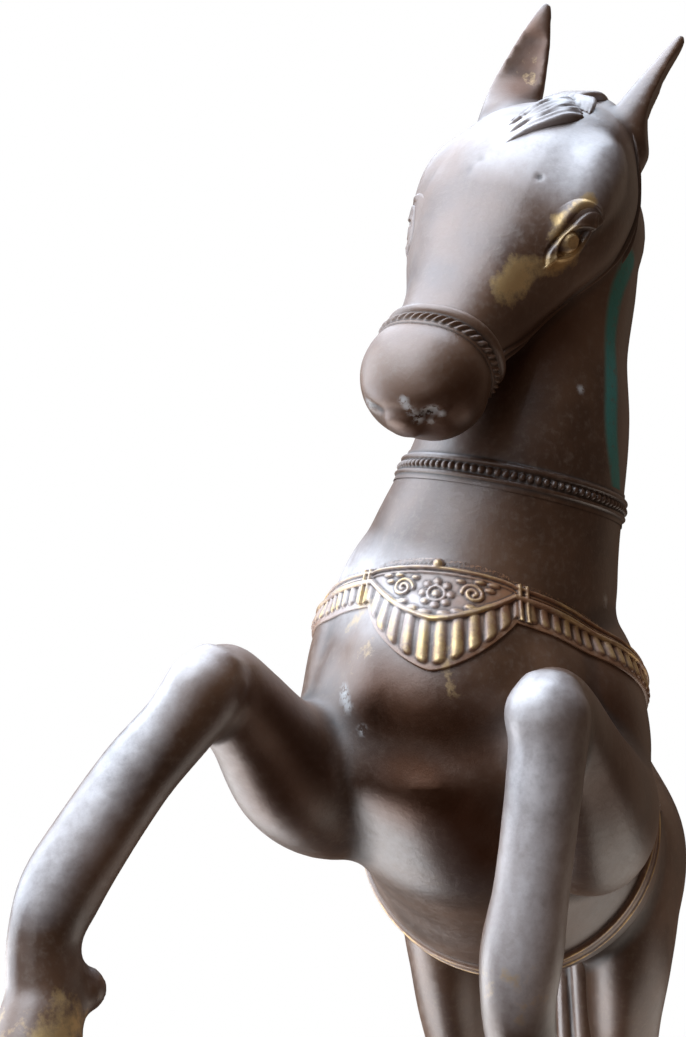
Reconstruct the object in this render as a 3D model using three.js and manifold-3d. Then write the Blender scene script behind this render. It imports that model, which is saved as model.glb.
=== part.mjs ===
// A prancing horse cast in bronze, with its bridle, breast collar, girth, saddle cloth and saddle
// cast in one with it, on a low moulded plinth of the same metal.
// Millimetres, +Z up. The horse faces -Y and its left side is +X. The origin is the middle of the
// plinth's underside.
import * as THREE from "three";
import { mergeVertices } from "three/addons/utils/BufferGeometryUtils.js";
import Module from "manifold-3d";

const wasm = await Module();
wasm.setup();

// Driving dimensions
const FIGURE_HEIGHT = 860; // soles of the hind hooves to the tip of the right ear
const PLINTH_LENGTH = 480;
const PLINTH_WIDTH = 250;
const PLINTH_THICKNESS = 34;
const PLINTH_CORNER = 45; // corner radius in plan
const PLINTH_STEP = 10; // how far the top is set back from the foot
const SOLE_GAP = 0.3; // between the hooves and the plinth
const NOSEBAND_WIDTH = 16;
const NOSEBAND_HEIGHT = 3.2; // how far it stands proud of the skin
const CHEEK_STRAP_WIDTH = 7;
const NECK_BAND_WIDTH = 12;
const GIRTH_WIDTH = 17;
const STRAP_HEIGHT = 2.6; // the other straps, proud of the skin
const COLLAR_HEIGHT = 4; // the breast collar, proud of the skin
const COLLAR_BAND = 8; // width of the collar's side bands, without their lobes
const COLLAR_FRINGE = 11; // length of the lobes along the side bands
const COLLAR_RIM = 2.6; // width of the raised rim along the collar's edges
const PLAQUE_RISE = 3; // how far the plaque stands above the side bands
const PLAQUE_DROP = 21; // how far its lower rim hangs below them
const PLAQUE_FRINGE = 25; // length of the lobe at its middle
const CLOTH_HEIGHT = 3; // the saddle cloth, proud of the skin

// The figure's own forms are in thousandths of its height.
const SHARE = FIGURE_HEIGHT / 1000;
const LEFT = new THREE.Vector3(1, 0, 0);
const BACK = new THREE.Vector3(0, 1, 0);
const UP = new THREE.Vector3(0, 0, 1);

// A point of the figure, with z counted from the soles.
function at(x, y, z) {
  const soles = PLINTH_THICKNESS + SOLE_GAP;
  return new THREE.Vector3(x * SHARE, y * SHARE, z * SHARE + soles);
}

function solid(geometry) {
  geometry.deleteAttribute("normal");
  geometry.deleteAttribute("uv");
  const merged = mergeVertices(geometry, 1e-4);
  return new wasm.Manifold(
    new wasm.Mesh({
      numProp: 3,
      vertProperties: merged.attributes.position.array,
      triVerts: new Uint32Array(merged.index.array),
    }),
  );
}

function geometryOf(made) {
  const { numProp, numVert, vertProperties, triVerts } = made.getMesh();
  const points = new Float32Array(numVert * 3);
  for (let i = 0; i < numVert; i++) {
    points.set(vertProperties.subarray(i * numProp, i * numProp + 3), i * 3);
  }
  return new THREE.BufferGeometry()
    .setAttribute("position", new THREE.BufferAttribute(points, 3))
    .setIndex(new THREE.BufferAttribute(triVerts, 1));
}

function smoothLine(points) {
  return new THREE.CatmullRomCurve3(points, false, "catmullrom");
}

// A closed limb: the rows of a sphere laid along a smooth line through the stations.
// A station is [point, half width, half depth, half depth on the other side]. The width lies along
// `side`, and the depth along side x line. Where the two half depths differ, the section is an egg.
// `full` below 1 fills the section out toward a rounded square, and `flute` sinks every other edge.
function limb(stations, options = {}) {
  const { side = LEFT, sides = 10, dome = 0.45, full = 1, flute = 0 } = options;
  const line = smoothLine(stations.map((s) => s[0]));
  const sizes = smoothLine(
    stations.map((s) => new THREE.Vector3(s[1], s[2], s[3] ?? s[2])),
  );
  const fill = (value) => Math.sign(value) * Math.abs(value) ** full;
  const spans = stations.length - 1;
  const geometry = new THREE.SphereGeometry(1, sides, spans + 2);
  const position = geometry.attributes.position;
  for (let i = 0; i < position.count; i++) {
    const row = Math.floor(i / (sides + 1));
    const column = (i % (sides + 1)) % sides;
    const angle = (column / sides) * 2 * Math.PI;
    const u = THREE.MathUtils.clamp((row - 1) / spans, 0, 1);
    const centre = line.getPoint(u);
    const along = line.getTangent(u);
    const size = sizes.getPoint(u).multiplyScalar(SHARE);
    if (row === 0 || row === spans + 2) {
      const out = (row === 0 ? -dome : dome) * Math.min(size.x, size.y);
      centre.addScaledVector(along, out);
    } else {
      const across = side.clone().addScaledVector(along, -side.dot(along)).normalize();
      const deep = across.clone().cross(along);
      const depth = Math.sin(angle) > 0 ? size.y : size.z;
      const sunk = column % 2 ? 1 - flute : 1;
      centre.addScaledVector(across, sunk * size.x * fill(Math.cos(angle)));
      centre.addScaledVector(deep, sunk * depth * fill(Math.sin(angle)));
    }
    position.setXYZ(i, centre.x, centre.y, centre.z);
  }
  return solid(geometry);
}

// The skin through rings of points, all with the same count. It closes on itself, or has flat ends.
function hull(rings, closed = false) {
  const count = rings[0].length;
  const index = [];
  const last = closed ? rings.length : rings.length - 1;
  for (let i = 0; i < last; i++) {
    const next = ((i + 1) % rings.length) * count;
    for (let j = 0; j < count; j++) {
      const k = (j + 1) % count;
      const [a, b, c, d] = [i * count + j, i * count + k, next + k, next + j];
      index.push(a, b, c, a, c, d);
    }
  }
  if (!closed) {
    const end = (rings.length - 1) * count;
    for (let j = 1; j < count - 1; j++) {
      index.push(0, j + 1, j);
      index.push(end, end + j, end + j + 1);
    }
  }
  const geometry = new THREE.BufferGeometry().setFromPoints(rings.flat());
  geometry.setIndex(index);
  return solid(geometry);
}

function ball(centre, radius, sides = 8) {
  const geometry = new THREE.SphereGeometry(radius * SHARE, sides, Math.round(sides * 0.6));
  geometry.translate(centre.x, centre.y, centre.z);
  return solid(geometry);
}

function union(parts) {
  return parts.reduce((all, part) => all.add(part));
}

// The casting without the small voids that its overlapping forms close in.
function filled(made) {
  return made.decompose().reduce((best, body) => (body.volume() > best.volume() ? body : best));
}

// Trunk, from the breast to the buttocks.
function trunk() {
  const stations = [
    [at(0, -240, 544), 56, 60],
    [at(0, -226, 538), 77, 82],
    [at(0, -203, 525), 92, 98],
    [at(1, -150, 500), 105, 112],
    [at(3, -92, 470), 101, 107],
    [at(2, -30, 441), 106, 103],
    [at(1, 40, 432), 99, 94],
    [at(0, 108, 436), 94, 92],
    [at(0, 165, 434), 86, 88],
    [at(0, 208, 420), 64, 66],
    [at(0, 228, 408), 34, 38],
  ];
  return limb(stations, { sides: 18 });
}

// Neck, from inside the chest to the poll. It leans to the horse's left as it rises.
function neck() {
  const stations = [
    [at(4, -112, 470), 80, 88, 74],
    [at(1, -136, 560), 99, 113, 96],
    [at(20, -152, 618), 86, 92, 96],
    [at(38, -162, 668), 74, 78, 94],
    [at(50, -162, 716), 67, 70, 88],
    [at(59, -160, 764), 58, 66, 82],
    [at(70, -160, 812), 55, 62, 76],
    [at(80, -164, 858), 50, 52, 66],
    [at(84, -172, 892), 38, 40, 46],
  ];
  return limb(stations, { sides: 16 });
}

// The head's own frame: down the nose from the poll, to the horse's left, and out of the forehead.
const POLL = [85, -174, 914];
const NOSEWARD = new THREE.Vector3(-0.312, -0.464, -0.829).normalize();
const HEAD_LEFT = new THREE.Vector3(0.948, -0.207, -0.24);
HEAD_LEFT.addScaledVector(NOSEWARD, -HEAD_LEFT.dot(NOSEWARD)).normalize();
const FACE = NOSEWARD.clone().cross(HEAD_LEFT);

function onHead(down, left, out) {
  return at(...POLL)
    .addScaledVector(NOSEWARD, down * SHARE)
    .addScaledVector(HEAD_LEFT, left * SHARE)
    .addScaledVector(FACE, out * SHARE);
}

// Skull and muzzle. The depths are those of the jaw side, then those of the forehead side.
function skull() {
  const stations = [
    [onHead(-24, 0, -26), 30, 34, 30],
    [onHead(0, 0, -16), 46, 44, 32],
    [onHead(34, -2, -8), 64, 50, 48],
    [onHead(66, -3, -8), 72, 52, 56],
    [onHead(100, -4, -8), 72, 48, 52],
    [onHead(138, -4, -8), 58, 40, 42],
    [onHead(176, -2, -8), 44, 34, 35],
    [onHead(212, -1, -8), 36, 33, 32],
    [onHead(238, -2, -8), 41, 38, 36],
    [onHead(256, -2, -9), 38, 36, 33],
    [onHead(270, -2, -10), 28, 27, 24],
    [onHead(277, -2, -11), 13, 13, 12],
  ];
  return limb(stations, { side: HEAD_LEFT, sides: 16, full: 0.88 });
}

function jowl(way) {
  const stations = [
    [onHead(22, way * 32, -36), 16, 24],
    [onHead(50, way * 40, -50), 20, 36],
    [onHead(86, way * 38, -50), 20, 36],
    [onHead(126, way * 26, -38), 15, 24],
    [onHead(164, way * 18, -30), 8, 12],
  ];
  return limb(stations, { side: HEAD_LEFT, sides: 8 });
}

// The side of the forehead, from below the ear to the inner corner of the eye.
function brow(way) {
  const stations = [
    [onHead(34, way * 34, 10), 13, 13],
    [onHead(66, way * 49, 17), 21, 21],
    [onHead(98, way * 49, 12), 21, 21],
    [onHead(128, way * 40, 7), 14, 14],
    [onHead(152, way * 31, 4), 8, 8],
  ];
  return limb(stations, { side: HEAD_LEFT, sides: 8 });
}

// An eye: a long ball with an upper and a lower lid laid over it.
const EYE = [120, 54, 5];

function onEye(along, out, deep) {
  const [down, left, face] = EYE;
  return [down + along, left + deep, face + out];
}

function eyelid(way, rise) {
  const stations = [-1, -0.4, 0.4, 1].map((t) => {
    const [down, left, face] = onEye(t * 19, rise * (1 - t * t), 4 * (1 - t * t) - 1);
    const thick = 3.6 - 1.6 * t * t;
    return [onHead(down, way * left, face), thick, thick];
  });
  return limb(stations, { side: HEAD_LEFT, sides: 5 });
}

function eye(way) {
  const stations = [
    [onHead(EYE[0] - 13, way * (EYE[1] - 5), EYE[2]), 4, 4],
    [onHead(EYE[0] - 6, way * (EYE[1] - 3), EYE[2]), 8, 8],
    [onHead(EYE[0] + 6, way * (EYE[1] - 3), EYE[2]), 8, 8],
    [onHead(EYE[0] + 13, way * (EYE[1] - 5), EYE[2]), 4, 4],
  ];
  return union([
    limb(stations, { side: HEAD_LEFT, sides: 8 }),
    eyelid(way, 11),
    eyelid(way, -9),
  ]);
}

// The hollow of a nostril, cut slantwise into the side of the muzzle.
function nostril(way) {
  const stations = [
    [onHead(262, way * 31, 12), 5, 5],
    [onHead(270, way * 24, 6), 6.5, 6.5],
    [onHead(276, way * 15, -2), 5, 5],
  ];
  return limb(stations, { side: HEAD_LEFT, sides: 5 });
}

// A leaf-shaped ear, hollowed on the side that faces `opening`.
function ear(base, tip, opening, size) {
  const foot = at(...base);
  const along = at(...tip).sub(foot);
  const open = opening.clone().normalize();
  const side = along.clone().normalize().cross(open).normalize();
  const leaf = (from, to, widths, depths, shift) =>
    limb(
      widths.map((width, i) => {
        const share = THREE.MathUtils.lerp(from, to, i / (widths.length - 1));
        const point = foot.clone().addScaledVector(along, share);
        return [point.addScaledVector(open, shift * SHARE), width * size, depths[i] * size];
      }),
      { side, sides: 8, dome: 0.8 },
    );
  const outer = leaf(-0.15, 0.97, [20, 21, 20, 16, 11, 3.5], [20, 20, 17, 13, 8, 3.5], 0);
  const hollow = leaf(0.16, 0.86, [7, 13, 10, 4], [8, 8, 6, 3], 13);
  return outer.subtract(hollow);
}

// A tapering lock of hair along a line of points.
function lock(points, width, thick, side = LEFT) {
  const stations = points.map((p, i) => {
    const size = Math.cos((i / (points.length - 1)) * 1.4);
    return [p, width * size, thick * size];
  });
  return limb(stations, { side, sides: 6, dome: 0.6 });
}

// Five locks that lie from between the ears down over the forehead.
function forelock(head) {
  const onForehead = (down, left, lift) => {
    const origin = onHead(down, 0, -20);
    const out = FACE.clone().multiplyScalar(62).addScaledVector(HEAD_LEFT, left).normalize();
    return skinPoint(head, origin, out).addScaledVector(out, lift * SHARE);
  };
  const locks = [];
  for (let i = 0; i < 5; i++) {
    const left = i * 8;
    const points = [
      onForehead(-10, left * 0.6 + 6, -5),
      onForehead(8, left * 0.9 + 4, 0.5),
      onForehead(36, left + 1, 2.5),
      onForehead(72 - i * 3, left * 1.1 - 5, 0.5),
    ];
    locks.push(lock(points, 6, 6, HEAD_LEFT));
  }
  return union(locks);
}

// The crest of the neck, from the poll to the withers.
const CREST = [
  [88, -138, 912],
  [80, -112, 880],
  [70, -92, 838],
  [62, -82, 790],
  [54, -77, 742],
  [45, -72, 694],
  [33, -64, 648],
  [20, -50, 604],
  [10, -26, 566],
];

// A standing mane that swells and sinks in locks from the poll to the withers.
function mane() {
  const crest = smoothLine(CREST.map((p) => at(...p)));
  const locks = 8;
  const stations = [];
  for (let i = 0; i <= 2 * locks; i++) {
    const isLock = i % 2 === 1;
    const point = crest.getPoint(i / (2 * locks));
    point.addScaledVector(BACK, (isLock ? 8 : 2) * SHARE);
    stations.push([point, isLock ? 12 : 8, isLock ? 16 : 10]);
  }
  return limb(stations, { sides: 6 });
}

// The tail: fluted strands that arch out from the dock and fall to a point.
function tail() {
  const line = [
    [208, 444, 16],
    [256, 452, 21],
    [294, 396, 28],
    [308, 300, 31],
    [300, 200, 25],
    [288, 130, 13],
    [284, 104, 3],
  ];
  const stations = line.map(([y, z, size], i) => [at(3 * Math.sin(i), y, z), size, size * 0.85]);
  return limb(stations, { sides: 12, dome: 0.8, flute: 0.22 });
}

// A shoulder: a wide muscle down the side of the chest.
function shoulder(way) {
  const stations =
    way > 0
      ? [
          [at(44, -108, 594), 16, 34],
          [at(72, -124, 556), 33, 56],
          [at(78, -148, 505), 42, 62],
          [at(80, -165, 460), 40, 50],
        ]
      : [
          [at(-44, -124, 606), 20, 38],
          [at(-64, -144, 566), 38, 58],
          [at(-68, -170, 508), 40, 60],
          [at(-74, -186, 468), 40, 50],
        ];
  return limb(stations, { sides: 12 });
}

// The raised forelegs, from the elbow to the coronet. The left one points at the viewer's right.
function leftForeleg() {
  const forearm = [
    [at(64, -110, 470), 44, 56],
    [at(80, -160, 452), 46, 56],
    [at(86, -212, 460), 38, 46],
    [at(88, -262, 482), 29, 34],
    [at(87, -306, 502), 23, 25],
    [at(86, -322, 506), 15, 16],
  ];
  const shank = [
    [at(88, -318, 514), 17, 18],
    [at(87, -321, 500), 24, 25],
    [at(86, -319, 480), 22, 22],
    [at(80, -315, 441), 21, 21],
    [at(73, -310, 402), 21, 22],
    [at(66, -305, 370), 23, 24],
    [at(62, -298, 344), 21, 22],
    [at(60, -284, 322), 20, 20],
  ];
  return union([
    limb(forearm),
    limb(shank),
    hoof(at(58, -280, 316), new THREE.Vector3(-0.05, 0.52, -0.85), 44),
  ]);
}

function rightForeleg() {
  const forearm = [
    [at(-52, -135, 484), 44, 48],
    [at(-76, -184, 467), 46, 48, 54],
    [at(-91, -238, 474), 39, 44, 44],
    [at(-99, -288, 500), 29, 33],
    [at(-104, -328, 520), 24, 26],
    [at(-105, -343, 527), 16, 17],
  ];
  const shank = [
    [at(-99, -341, 532), 17, 18],
    [at(-106, -343, 518), 24, 25],
    [at(-124, -345, 495), 22, 22],
    [at(-148, -348, 468), 23, 21],
    [at(-173, -353, 431), 24, 22],
    [at(-190, -356, 402), 24, 25],
    [at(-197, -360, 376), 21, 22],
    [at(-196, -360, 350), 22, 22],
  ];
  return union([
    limb(forearm),
    limb(shank),
    ball(at(-180, -343, 347), 13, 6),
    hoof(at(-195, -361, 344), new THREE.Vector3(-0.04, -0.1, -1), 52),
  ]);
}

// A hoof that widens from the coronet to a flat sole, square to `down`.
function hoof(coronet, down, length, forward = BACK.clone().negate()) {
  const along = down.clone().normalize();
  const ahead = forward.clone().addScaledVector(along, -forward.dot(along)).normalize();
  const across = ahead.clone().cross(along);
  const rows = [
    [-0.14, 15, 15, 0],
    [0, 22, 23, 0],
    [0.94, 28, 31, 8],
    [1, 26, 29, 8],
  ];
  const rings = rows.map(([share, wide, deep, lead]) => {
    const centre = coronet.clone().addScaledVector(along, share * length * SHARE);
    centre.addScaledVector(ahead, lead * SHARE);
    return ringAround(centre, across, ahead, wide * SHARE, deep * SHARE, 10);
  });
  return hull(rings);
}

function ringAround(centre, across, ahead, wide, deep, sides) {
  const ring = [];
  for (let i = 0; i < sides; i++) {
    const angle = (i / sides) * 2 * Math.PI;
    ring.push(
      centre
        .clone()
        .addScaledVector(across, wide * Math.cos(angle))
        .addScaledVector(ahead, deep * Math.sin(angle)),
    );
  }
  return ring;
}

// A hind leg, from the haunch to the hoof it stands on. `stifle` is how far out its upper joint
// lies, and `x` and `y` are where the hoof stands.
function hindleg(way, stifle, x, y) {
  const stations = [
    [at(way * 42, y + 32, 488), 42, 58],
    [at(way * 62, y + 24, 434), 47, 74],
    [at(stifle, y, 380), 38, 62],
    [at(stifle - way * 2, y - 6, 338), 33, 48],
    [at(THREE.MathUtils.lerp(stifle, x, 0.6), y + 10, 296), 28, 38],
    [at(x + way * 2, y + 44, 246), 21, 28],
    [at(x + way * 2, y + 64, 206), 19, 27],
    [at(x + way, y + 57, 168), 17, 21],
    [at(x, y + 47, 122), 15, 18],
    [at(x, y + 38, 84), 17, 20],
    [at(x, y + 26, 60), 17, 20],
    [at(x, y + 12, 38), 17, 18],
  ];
  return union([
    limb(stations),
    ball(at(x, y + 50, 72), 11, 6),
    hoof(at(x, y + 8, 36), UP.clone().negate(), 36),
  ]);
}

// Where a ray from inside the body leaves its skin for the last time.
function skinPoint(body, origin, direction) {
  const hits = new THREE.Raycaster(origin, direction).intersectObject(body);
  return hits[hits.length - 1].point;
}

function bodyOf(made) {
  const material = new THREE.MeshBasicMaterial({ side: THREE.DoubleSide });
  return new THREE.Mesh(geometryOf(made), material);
}

// A strap that lies on the body. Each cast is { origin, out, across, profile }, and a profile is a
// list of [shift across the strap, height out of the skin].
function strap(body, casts, closed = false) {
  const rings = casts.map(({ origin, out, across, profile }) =>
    profile.map(([shift, height]) => {
      const start = origin.clone().addScaledVector(across, shift);
      return skinPoint(body, start, out).addScaledVector(out, height);
    }),
  );
  return hull(rings, closed);
}

// A strap that goes right round the body, square to `axis`.
function belt(body, centre, axis, profile, sides) {
  const across = axis.clone().normalize();
  const start = LEFT.clone().addScaledVector(across, -LEFT.dot(across)).normalize();
  const casts = [];
  for (let i = 0; i < sides; i++) {
    const out = start.clone().applyAxisAngle(across, (i / sides) * 2 * Math.PI);
    casts.push({ origin: centre, out, across, profile });
  }
  return strap(body, casts, true);
}

const SUNK = -4; // how deep the straps' inner faces lie under the skin

function flatProfile(width, height) {
  const half = width / 2;
  return [
    [half, SUNK],
    [half, height],
    [-half, height],
    [-half, SUNK],
  ];
}

// Two raised rims with a sunk row between them.
function rimmedProfile(width, height) {
  const half = width / 2;
  const row = width / 4;
  return [
    [half, SUNK],
    [half, height],
    [row, height * 0.5],
    [-row, height * 0.5],
    [-half, height],
    [-half, SUNK],
  ];
}

function noseband(head) {
  const profile = rimmedProfile(NOSEBAND_WIDTH, NOSEBAND_HEIGHT);
  return belt(head, onHead(219, 0, -8), NOSEWARD, profile, 16);
}

// A cheek strap, from the noseband along the edge of the jaw to behind the ear.
function cheekStrap(head, way) {
  const profile = flatProfile(CHEEK_STRAP_WIDTH, STRAP_HEIGHT);
  const path = smoothLine(
    [
      [216, -4],
      [188, -22],
      [160, -32],
      [118, -28],
      [80, -28],
      [46, -20],
      [16, 0],
      [-8, 24],
    ].map(([down, angle]) => new THREE.Vector3(down, angle, 0)),
  );
  const casts = path.getPoints(10).map(({ x: down, y: angle }) => {
    const turn = THREE.MathUtils.degToRad(angle);
    const out = HEAD_LEFT.clone().multiplyScalar(way * Math.cos(turn));
    out.addScaledVector(FACE, Math.sin(turn));
    const across = NOSEWARD.clone().cross(out);
    return { origin: onHead(down, 0, -10), out, across, profile };
  });
  return strap(head, casts);
}

function neckBand(core) {
  const profile = rimmedProfile(NECK_BAND_WIDTH, STRAP_HEIGHT);
  return belt(core, at(36, -160, 664), new THREE.Vector3(0.24, -0.06, 0.97), profile, 16);
}

function girth(barrel) {
  const profile = flatProfile(GIRTH_WIDTH, STRAP_HEIGHT);
  return belt(barrel, at(2, -45, 444), new THREE.Vector3(0, 0.97, -0.2), profile, 18);
}

// The breast collar, as angles round the chest from the middle of its plaque. It falls away to
// both sides, and further to the horse's left.
const COLLAR_AXIS = [0, -120];
const COLLAR_FRONT = 2.5; // how far the plaque's middle lies to the left of straight ahead
const COLLAR_REACH = 132;
const COLLAR_LOBE = 6.6; // the pitch of the lobes
const PLAQUE_REACH = 22; // half the plaque's width
const FLANK_REACH = 115; // how far back along the flank one more radian lies

// Past a quarter turn the collar runs straight back, to the saddle cloth.
function onCollar(angle) {
  const turn = THREE.MathUtils.degToRad(angle + COLLAR_FRONT);
  const round = THREE.MathUtils.clamp(turn, -Math.PI / 2, Math.PI / 2);
  const out = new THREE.Vector3(Math.sin(round), -Math.cos(round), 0);
  const back = COLLAR_AXIS[1] + FLANK_REACH * Math.abs(turn - round);
  const height = 592 - 36 * (1 - Math.cos(turn)) - 18 * Math.sin(turn);
  return { out, origin: at(COLLAR_AXIS[0], back, height) };
}

// 1 at the plaque's middle and 0 from its ends on.
function plaqueShare(angle) {
  return Math.max(0, 1 - (Math.abs(angle) / PLAQUE_REACH) ** 1.5);
}

function collarTop(angle) {
  return COLLAR_BAND / 2 + PLAQUE_RISE * Math.sqrt(plaqueShare(angle));
}

function collarFoot(angle) {
  return -COLLAR_BAND / 2 - PLAQUE_DROP * plaqueShare(angle);
}

// Where the collar is cut across, closer together over the plaque.
const COLLAR_SHARES = [-1, -0.84, -0.68, -0.53, -0.38, -0.25, -0.165, -0.115, -0.065, 0];
COLLAR_SHARES.push(...COLLAR_SHARES.slice(0, -1).reverse().map((share) => -share));

function collarStrap(core) {
  const casts = [];
  for (const share of COLLAR_SHARES) {
    const angle = share * COLLAR_REACH;
    const top = collarTop(angle);
    const foot = collarFoot(angle);
    const profile = [
      [top, SUNK],
      [top, COLLAR_HEIGHT],
      [top - COLLAR_RIM, COLLAR_HEIGHT * 0.55],
      [foot + COLLAR_RIM, COLLAR_HEIGHT * 0.55],
      [foot, COLLAR_HEIGHT],
      [foot, SUNK],
    ];
    casts.push({ ...onCollar(angle), across: UP, profile });
  }
  return strap(core, casts);
}

// A point on the collar, `lift` above its middle line and `height` out of the skin.
function collarPoint(core, angle, lift, height) {
  const { origin, out } = onCollar(angle);
  origin.addScaledVector(UP, lift);
  return skinPoint(core, origin, out).addScaledVector(out, height);
}

// The row of lobes along the collar's lower edge. They lengthen to a point below the plaque.
function collarFringe(core) {
  const casts = [];
  const count = Math.round(COLLAR_REACH / COLLAR_LOBE);
  for (let i = -2 * count; i <= 2 * count; i++) {
    const angle = (i / (2 * count)) * COLLAR_REACH;
    const isLobe = i % 2 === 0;
    const top = collarFoot(angle) + COLLAR_RIM / 2;
    const long = THREE.MathUtils.lerp(COLLAR_FRINGE, PLAQUE_FRINGE, plaqueShare(angle));
    const length = long * (isLobe ? 1 : 0.8);
    const height = COLLAR_HEIGHT * (isLobe ? 0.85 : 0.3);
    const profile = [
      [top, SUNK],
      [top, height],
      [top - length, height],
      [top - length, SUNK],
    ];
    casts.push({ ...onCollar(angle), across: UP, profile });
  }
  return strap(core, casts);
}

// The plaque's flower, with a scroll curling away from it on either side.
function collarFlower(core) {
  const middle = (collarTop(0) + collarFoot(0)) / 2;
  const parts = [ball(collarPoint(core, 0, middle, 2.4), 5, 6)];
  for (let i = 0; i < 6; i++) {
    const turn = (i / 6) * 2 * Math.PI;
    const lift = middle + 7.4 * Math.sin(turn);
    parts.push(ball(collarPoint(core, 4.1 * Math.cos(turn), lift, 1.8), 3.8, 5));
  }
  for (const way of [-1, 1]) {
    const stations = [];
    for (let i = 0; i <= 6; i++) {
      const turn = i * 0.85;
      const shrink = 1 - i * 0.08;
      const spread = way * (11.5 + 4 * Math.cos(turn) * shrink);
      const lift = middle + 2 + 5 * Math.sin(turn) * shrink;
      stations.push([collarPoint(core, spread, lift, 2), 2.6, 2.6]);
    }
    parts.push(limb(stations, { side: BACK, sides: 5 }));
  }
  parts.push(ball(collarPoint(core, 0, collarTop(0), 2), 4.6, 6));
  return union(parts);
}

// A cover that lies over the back from `front` to `rear` and reaches `spread` degrees down each
// side. `rise` gives its height out of the skin from the shares along and across it.
function cover(barrel, front, rear, spread, rows, rise) {
  const sides = 8;
  const rings = [];
  for (let i = 0; i <= rows; i++) {
    const along = i / rows;
    const origin = at(2, THREE.MathUtils.lerp(front, rear, along), 445);
    const outer = [];
    const inner = [];
    for (let j = 0; j <= sides; j++) {
      const across = (2 * j) / sides - 1;
      const turn = THREE.MathUtils.degToRad(spread * across);
      const out = UP.clone().applyAxisAngle(BACK, turn);
      const skin = skinPoint(barrel, origin, out);
      outer.push(skin.clone().addScaledVector(out, rise(along, across)));
      inner.unshift(skin.addScaledVector(out, SUNK));
    }
    rings.push([...outer, ...inner]);
  }
  return hull(rings);
}

function saddleCloth(barrel) {
  return cover(barrel, -42, 104, 84, 4, () => CLOTH_HEIGHT);
}

// The saddle: a pommel and a cantle with the seat sunk between them, and short flaps.
function saddle(barrel) {
  const rise = (along, across) => {
    const pommel = Math.exp(-(((along - 0.16) / 0.13) ** 2));
    const cantle = Math.exp(-(((along - 0.84) / 0.13) ** 2));
    const crown = 1 - across * across;
    return CLOTH_HEIGHT + (3 + crown * (5 + 20 * pommel + 24 * cantle)) * SHARE;
  };
  return cover(barrel, -36, 84, 52, 8, rise);
}

// The whole casting. The straps lie on the bare body, so it is made first.
function horse() {
  const barrel = union([trunk(), shoulder(1), shoulder(-1)]);
  const core = barrel.add(neck());
  const head = union([skull(), jowl(1), jowl(-1), brow(1), brow(-1)]);
  const barrelBody = bodyOf(barrel);
  const coreBody = bodyOf(core);
  const headBody = bodyOf(head);
  const bare = union([
    core,
    head.subtract(nostril(1)).subtract(nostril(-1)),
    eye(1),
    eye(-1),
    ear([116, -170, 890], [164, -159, 980], new THREE.Vector3(0.95, 0.2, -0.2), 1),
    ear([40, -180, 916], [73, -174, 1013], new THREE.Vector3(0.1, -1, 0), 0.94),
    forelock(headBody),
    mane(),
    tail(),
    leftForeleg(),
    rightForeleg(),
    hindleg(1, 66, 52, 112),
    hindleg(-1, -77, -76, 104),
  ]);
  const dressed = union([
    bare,
    noseband(headBody),
    cheekStrap(headBody, 1),
    cheekStrap(headBody, -1),
    neckBand(coreBody),
    girth(barrelBody),
    collarStrap(coreBody),
    collarFringe(coreBody),
    collarFlower(coreBody),
    saddleCloth(barrelBody),
    saddle(barrelBody),
  ]);
  return filled(dressed);
}

// A rounded rectangle, set in from the plinth's foot.
function plinthRing(inset, z) {
  const radius = PLINTH_CORNER - inset;
  const steps = 5;
  const ring = [];
  for (let i = 0; i < 4; i++) {
    const cornerX = (i === 0 || i === 3 ? 1 : -1) * (PLINTH_WIDTH / 2 - PLINTH_CORNER);
    const cornerY = (i < 2 ? 1 : -1) * (PLINTH_LENGTH / 2 - PLINTH_CORNER);
    for (let j = 0; j <= steps; j++) {
      const turn = ((i + j / steps) * Math.PI) / 2;
      const x = cornerX + radius * Math.cos(turn);
      const y = cornerY + radius * Math.sin(turn);
      ring.push(new THREE.Vector3(x, y, z));
    }
  }
  return ring;
}

// The plinth: a plain foot, a hollow moulding and a rounded top edge.
function plinth() {
  const rows = [
    [0, 0],
    [0, 0.3],
    [0.12, 0.36],
    [0.75, 0.42],
    [0.9, 0.6],
    [0.6, 0.78],
    [0.62, 0.92],
    [1, 1],
  ];
  return hull(
    rows.map(([inset, z]) => plinthRing(inset * PLINTH_STEP, z * PLINTH_THICKNESS)),
  );
}

const bronze = new THREE.MeshStandardMaterial({ color: 0x5a4636, metalness: 1, roughness: 0.42 });
const darkBronze = new THREE.MeshStandardMaterial({ color: 0x4a392c, metalness: 1, roughness: 0.5 });

function piece(name, made, material) {
  const mesh = new THREE.Mesh(geometryOf(made), material);
  mesh.name = name;
  return mesh;
}

const group = new THREE.Group();
group.add(piece("horse", horse(), bronze));
group.add(piece("plinth", plinth(), darkBronze));

export default group;
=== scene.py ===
# %% [markdown]
# # Prancing horse, cast in bronze
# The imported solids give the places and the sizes. This script casts the smooth skin anew from the
# same stations, lays the carved tack on it as relief, and gives every piece its patina.
# Everything is in metres. The horse faces -Y and its left side is +X.

# %% Frame
import math

import bmesh
import bpy
import numpy as np
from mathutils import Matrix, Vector
from mathutils.bvhtree import BVHTree


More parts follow.
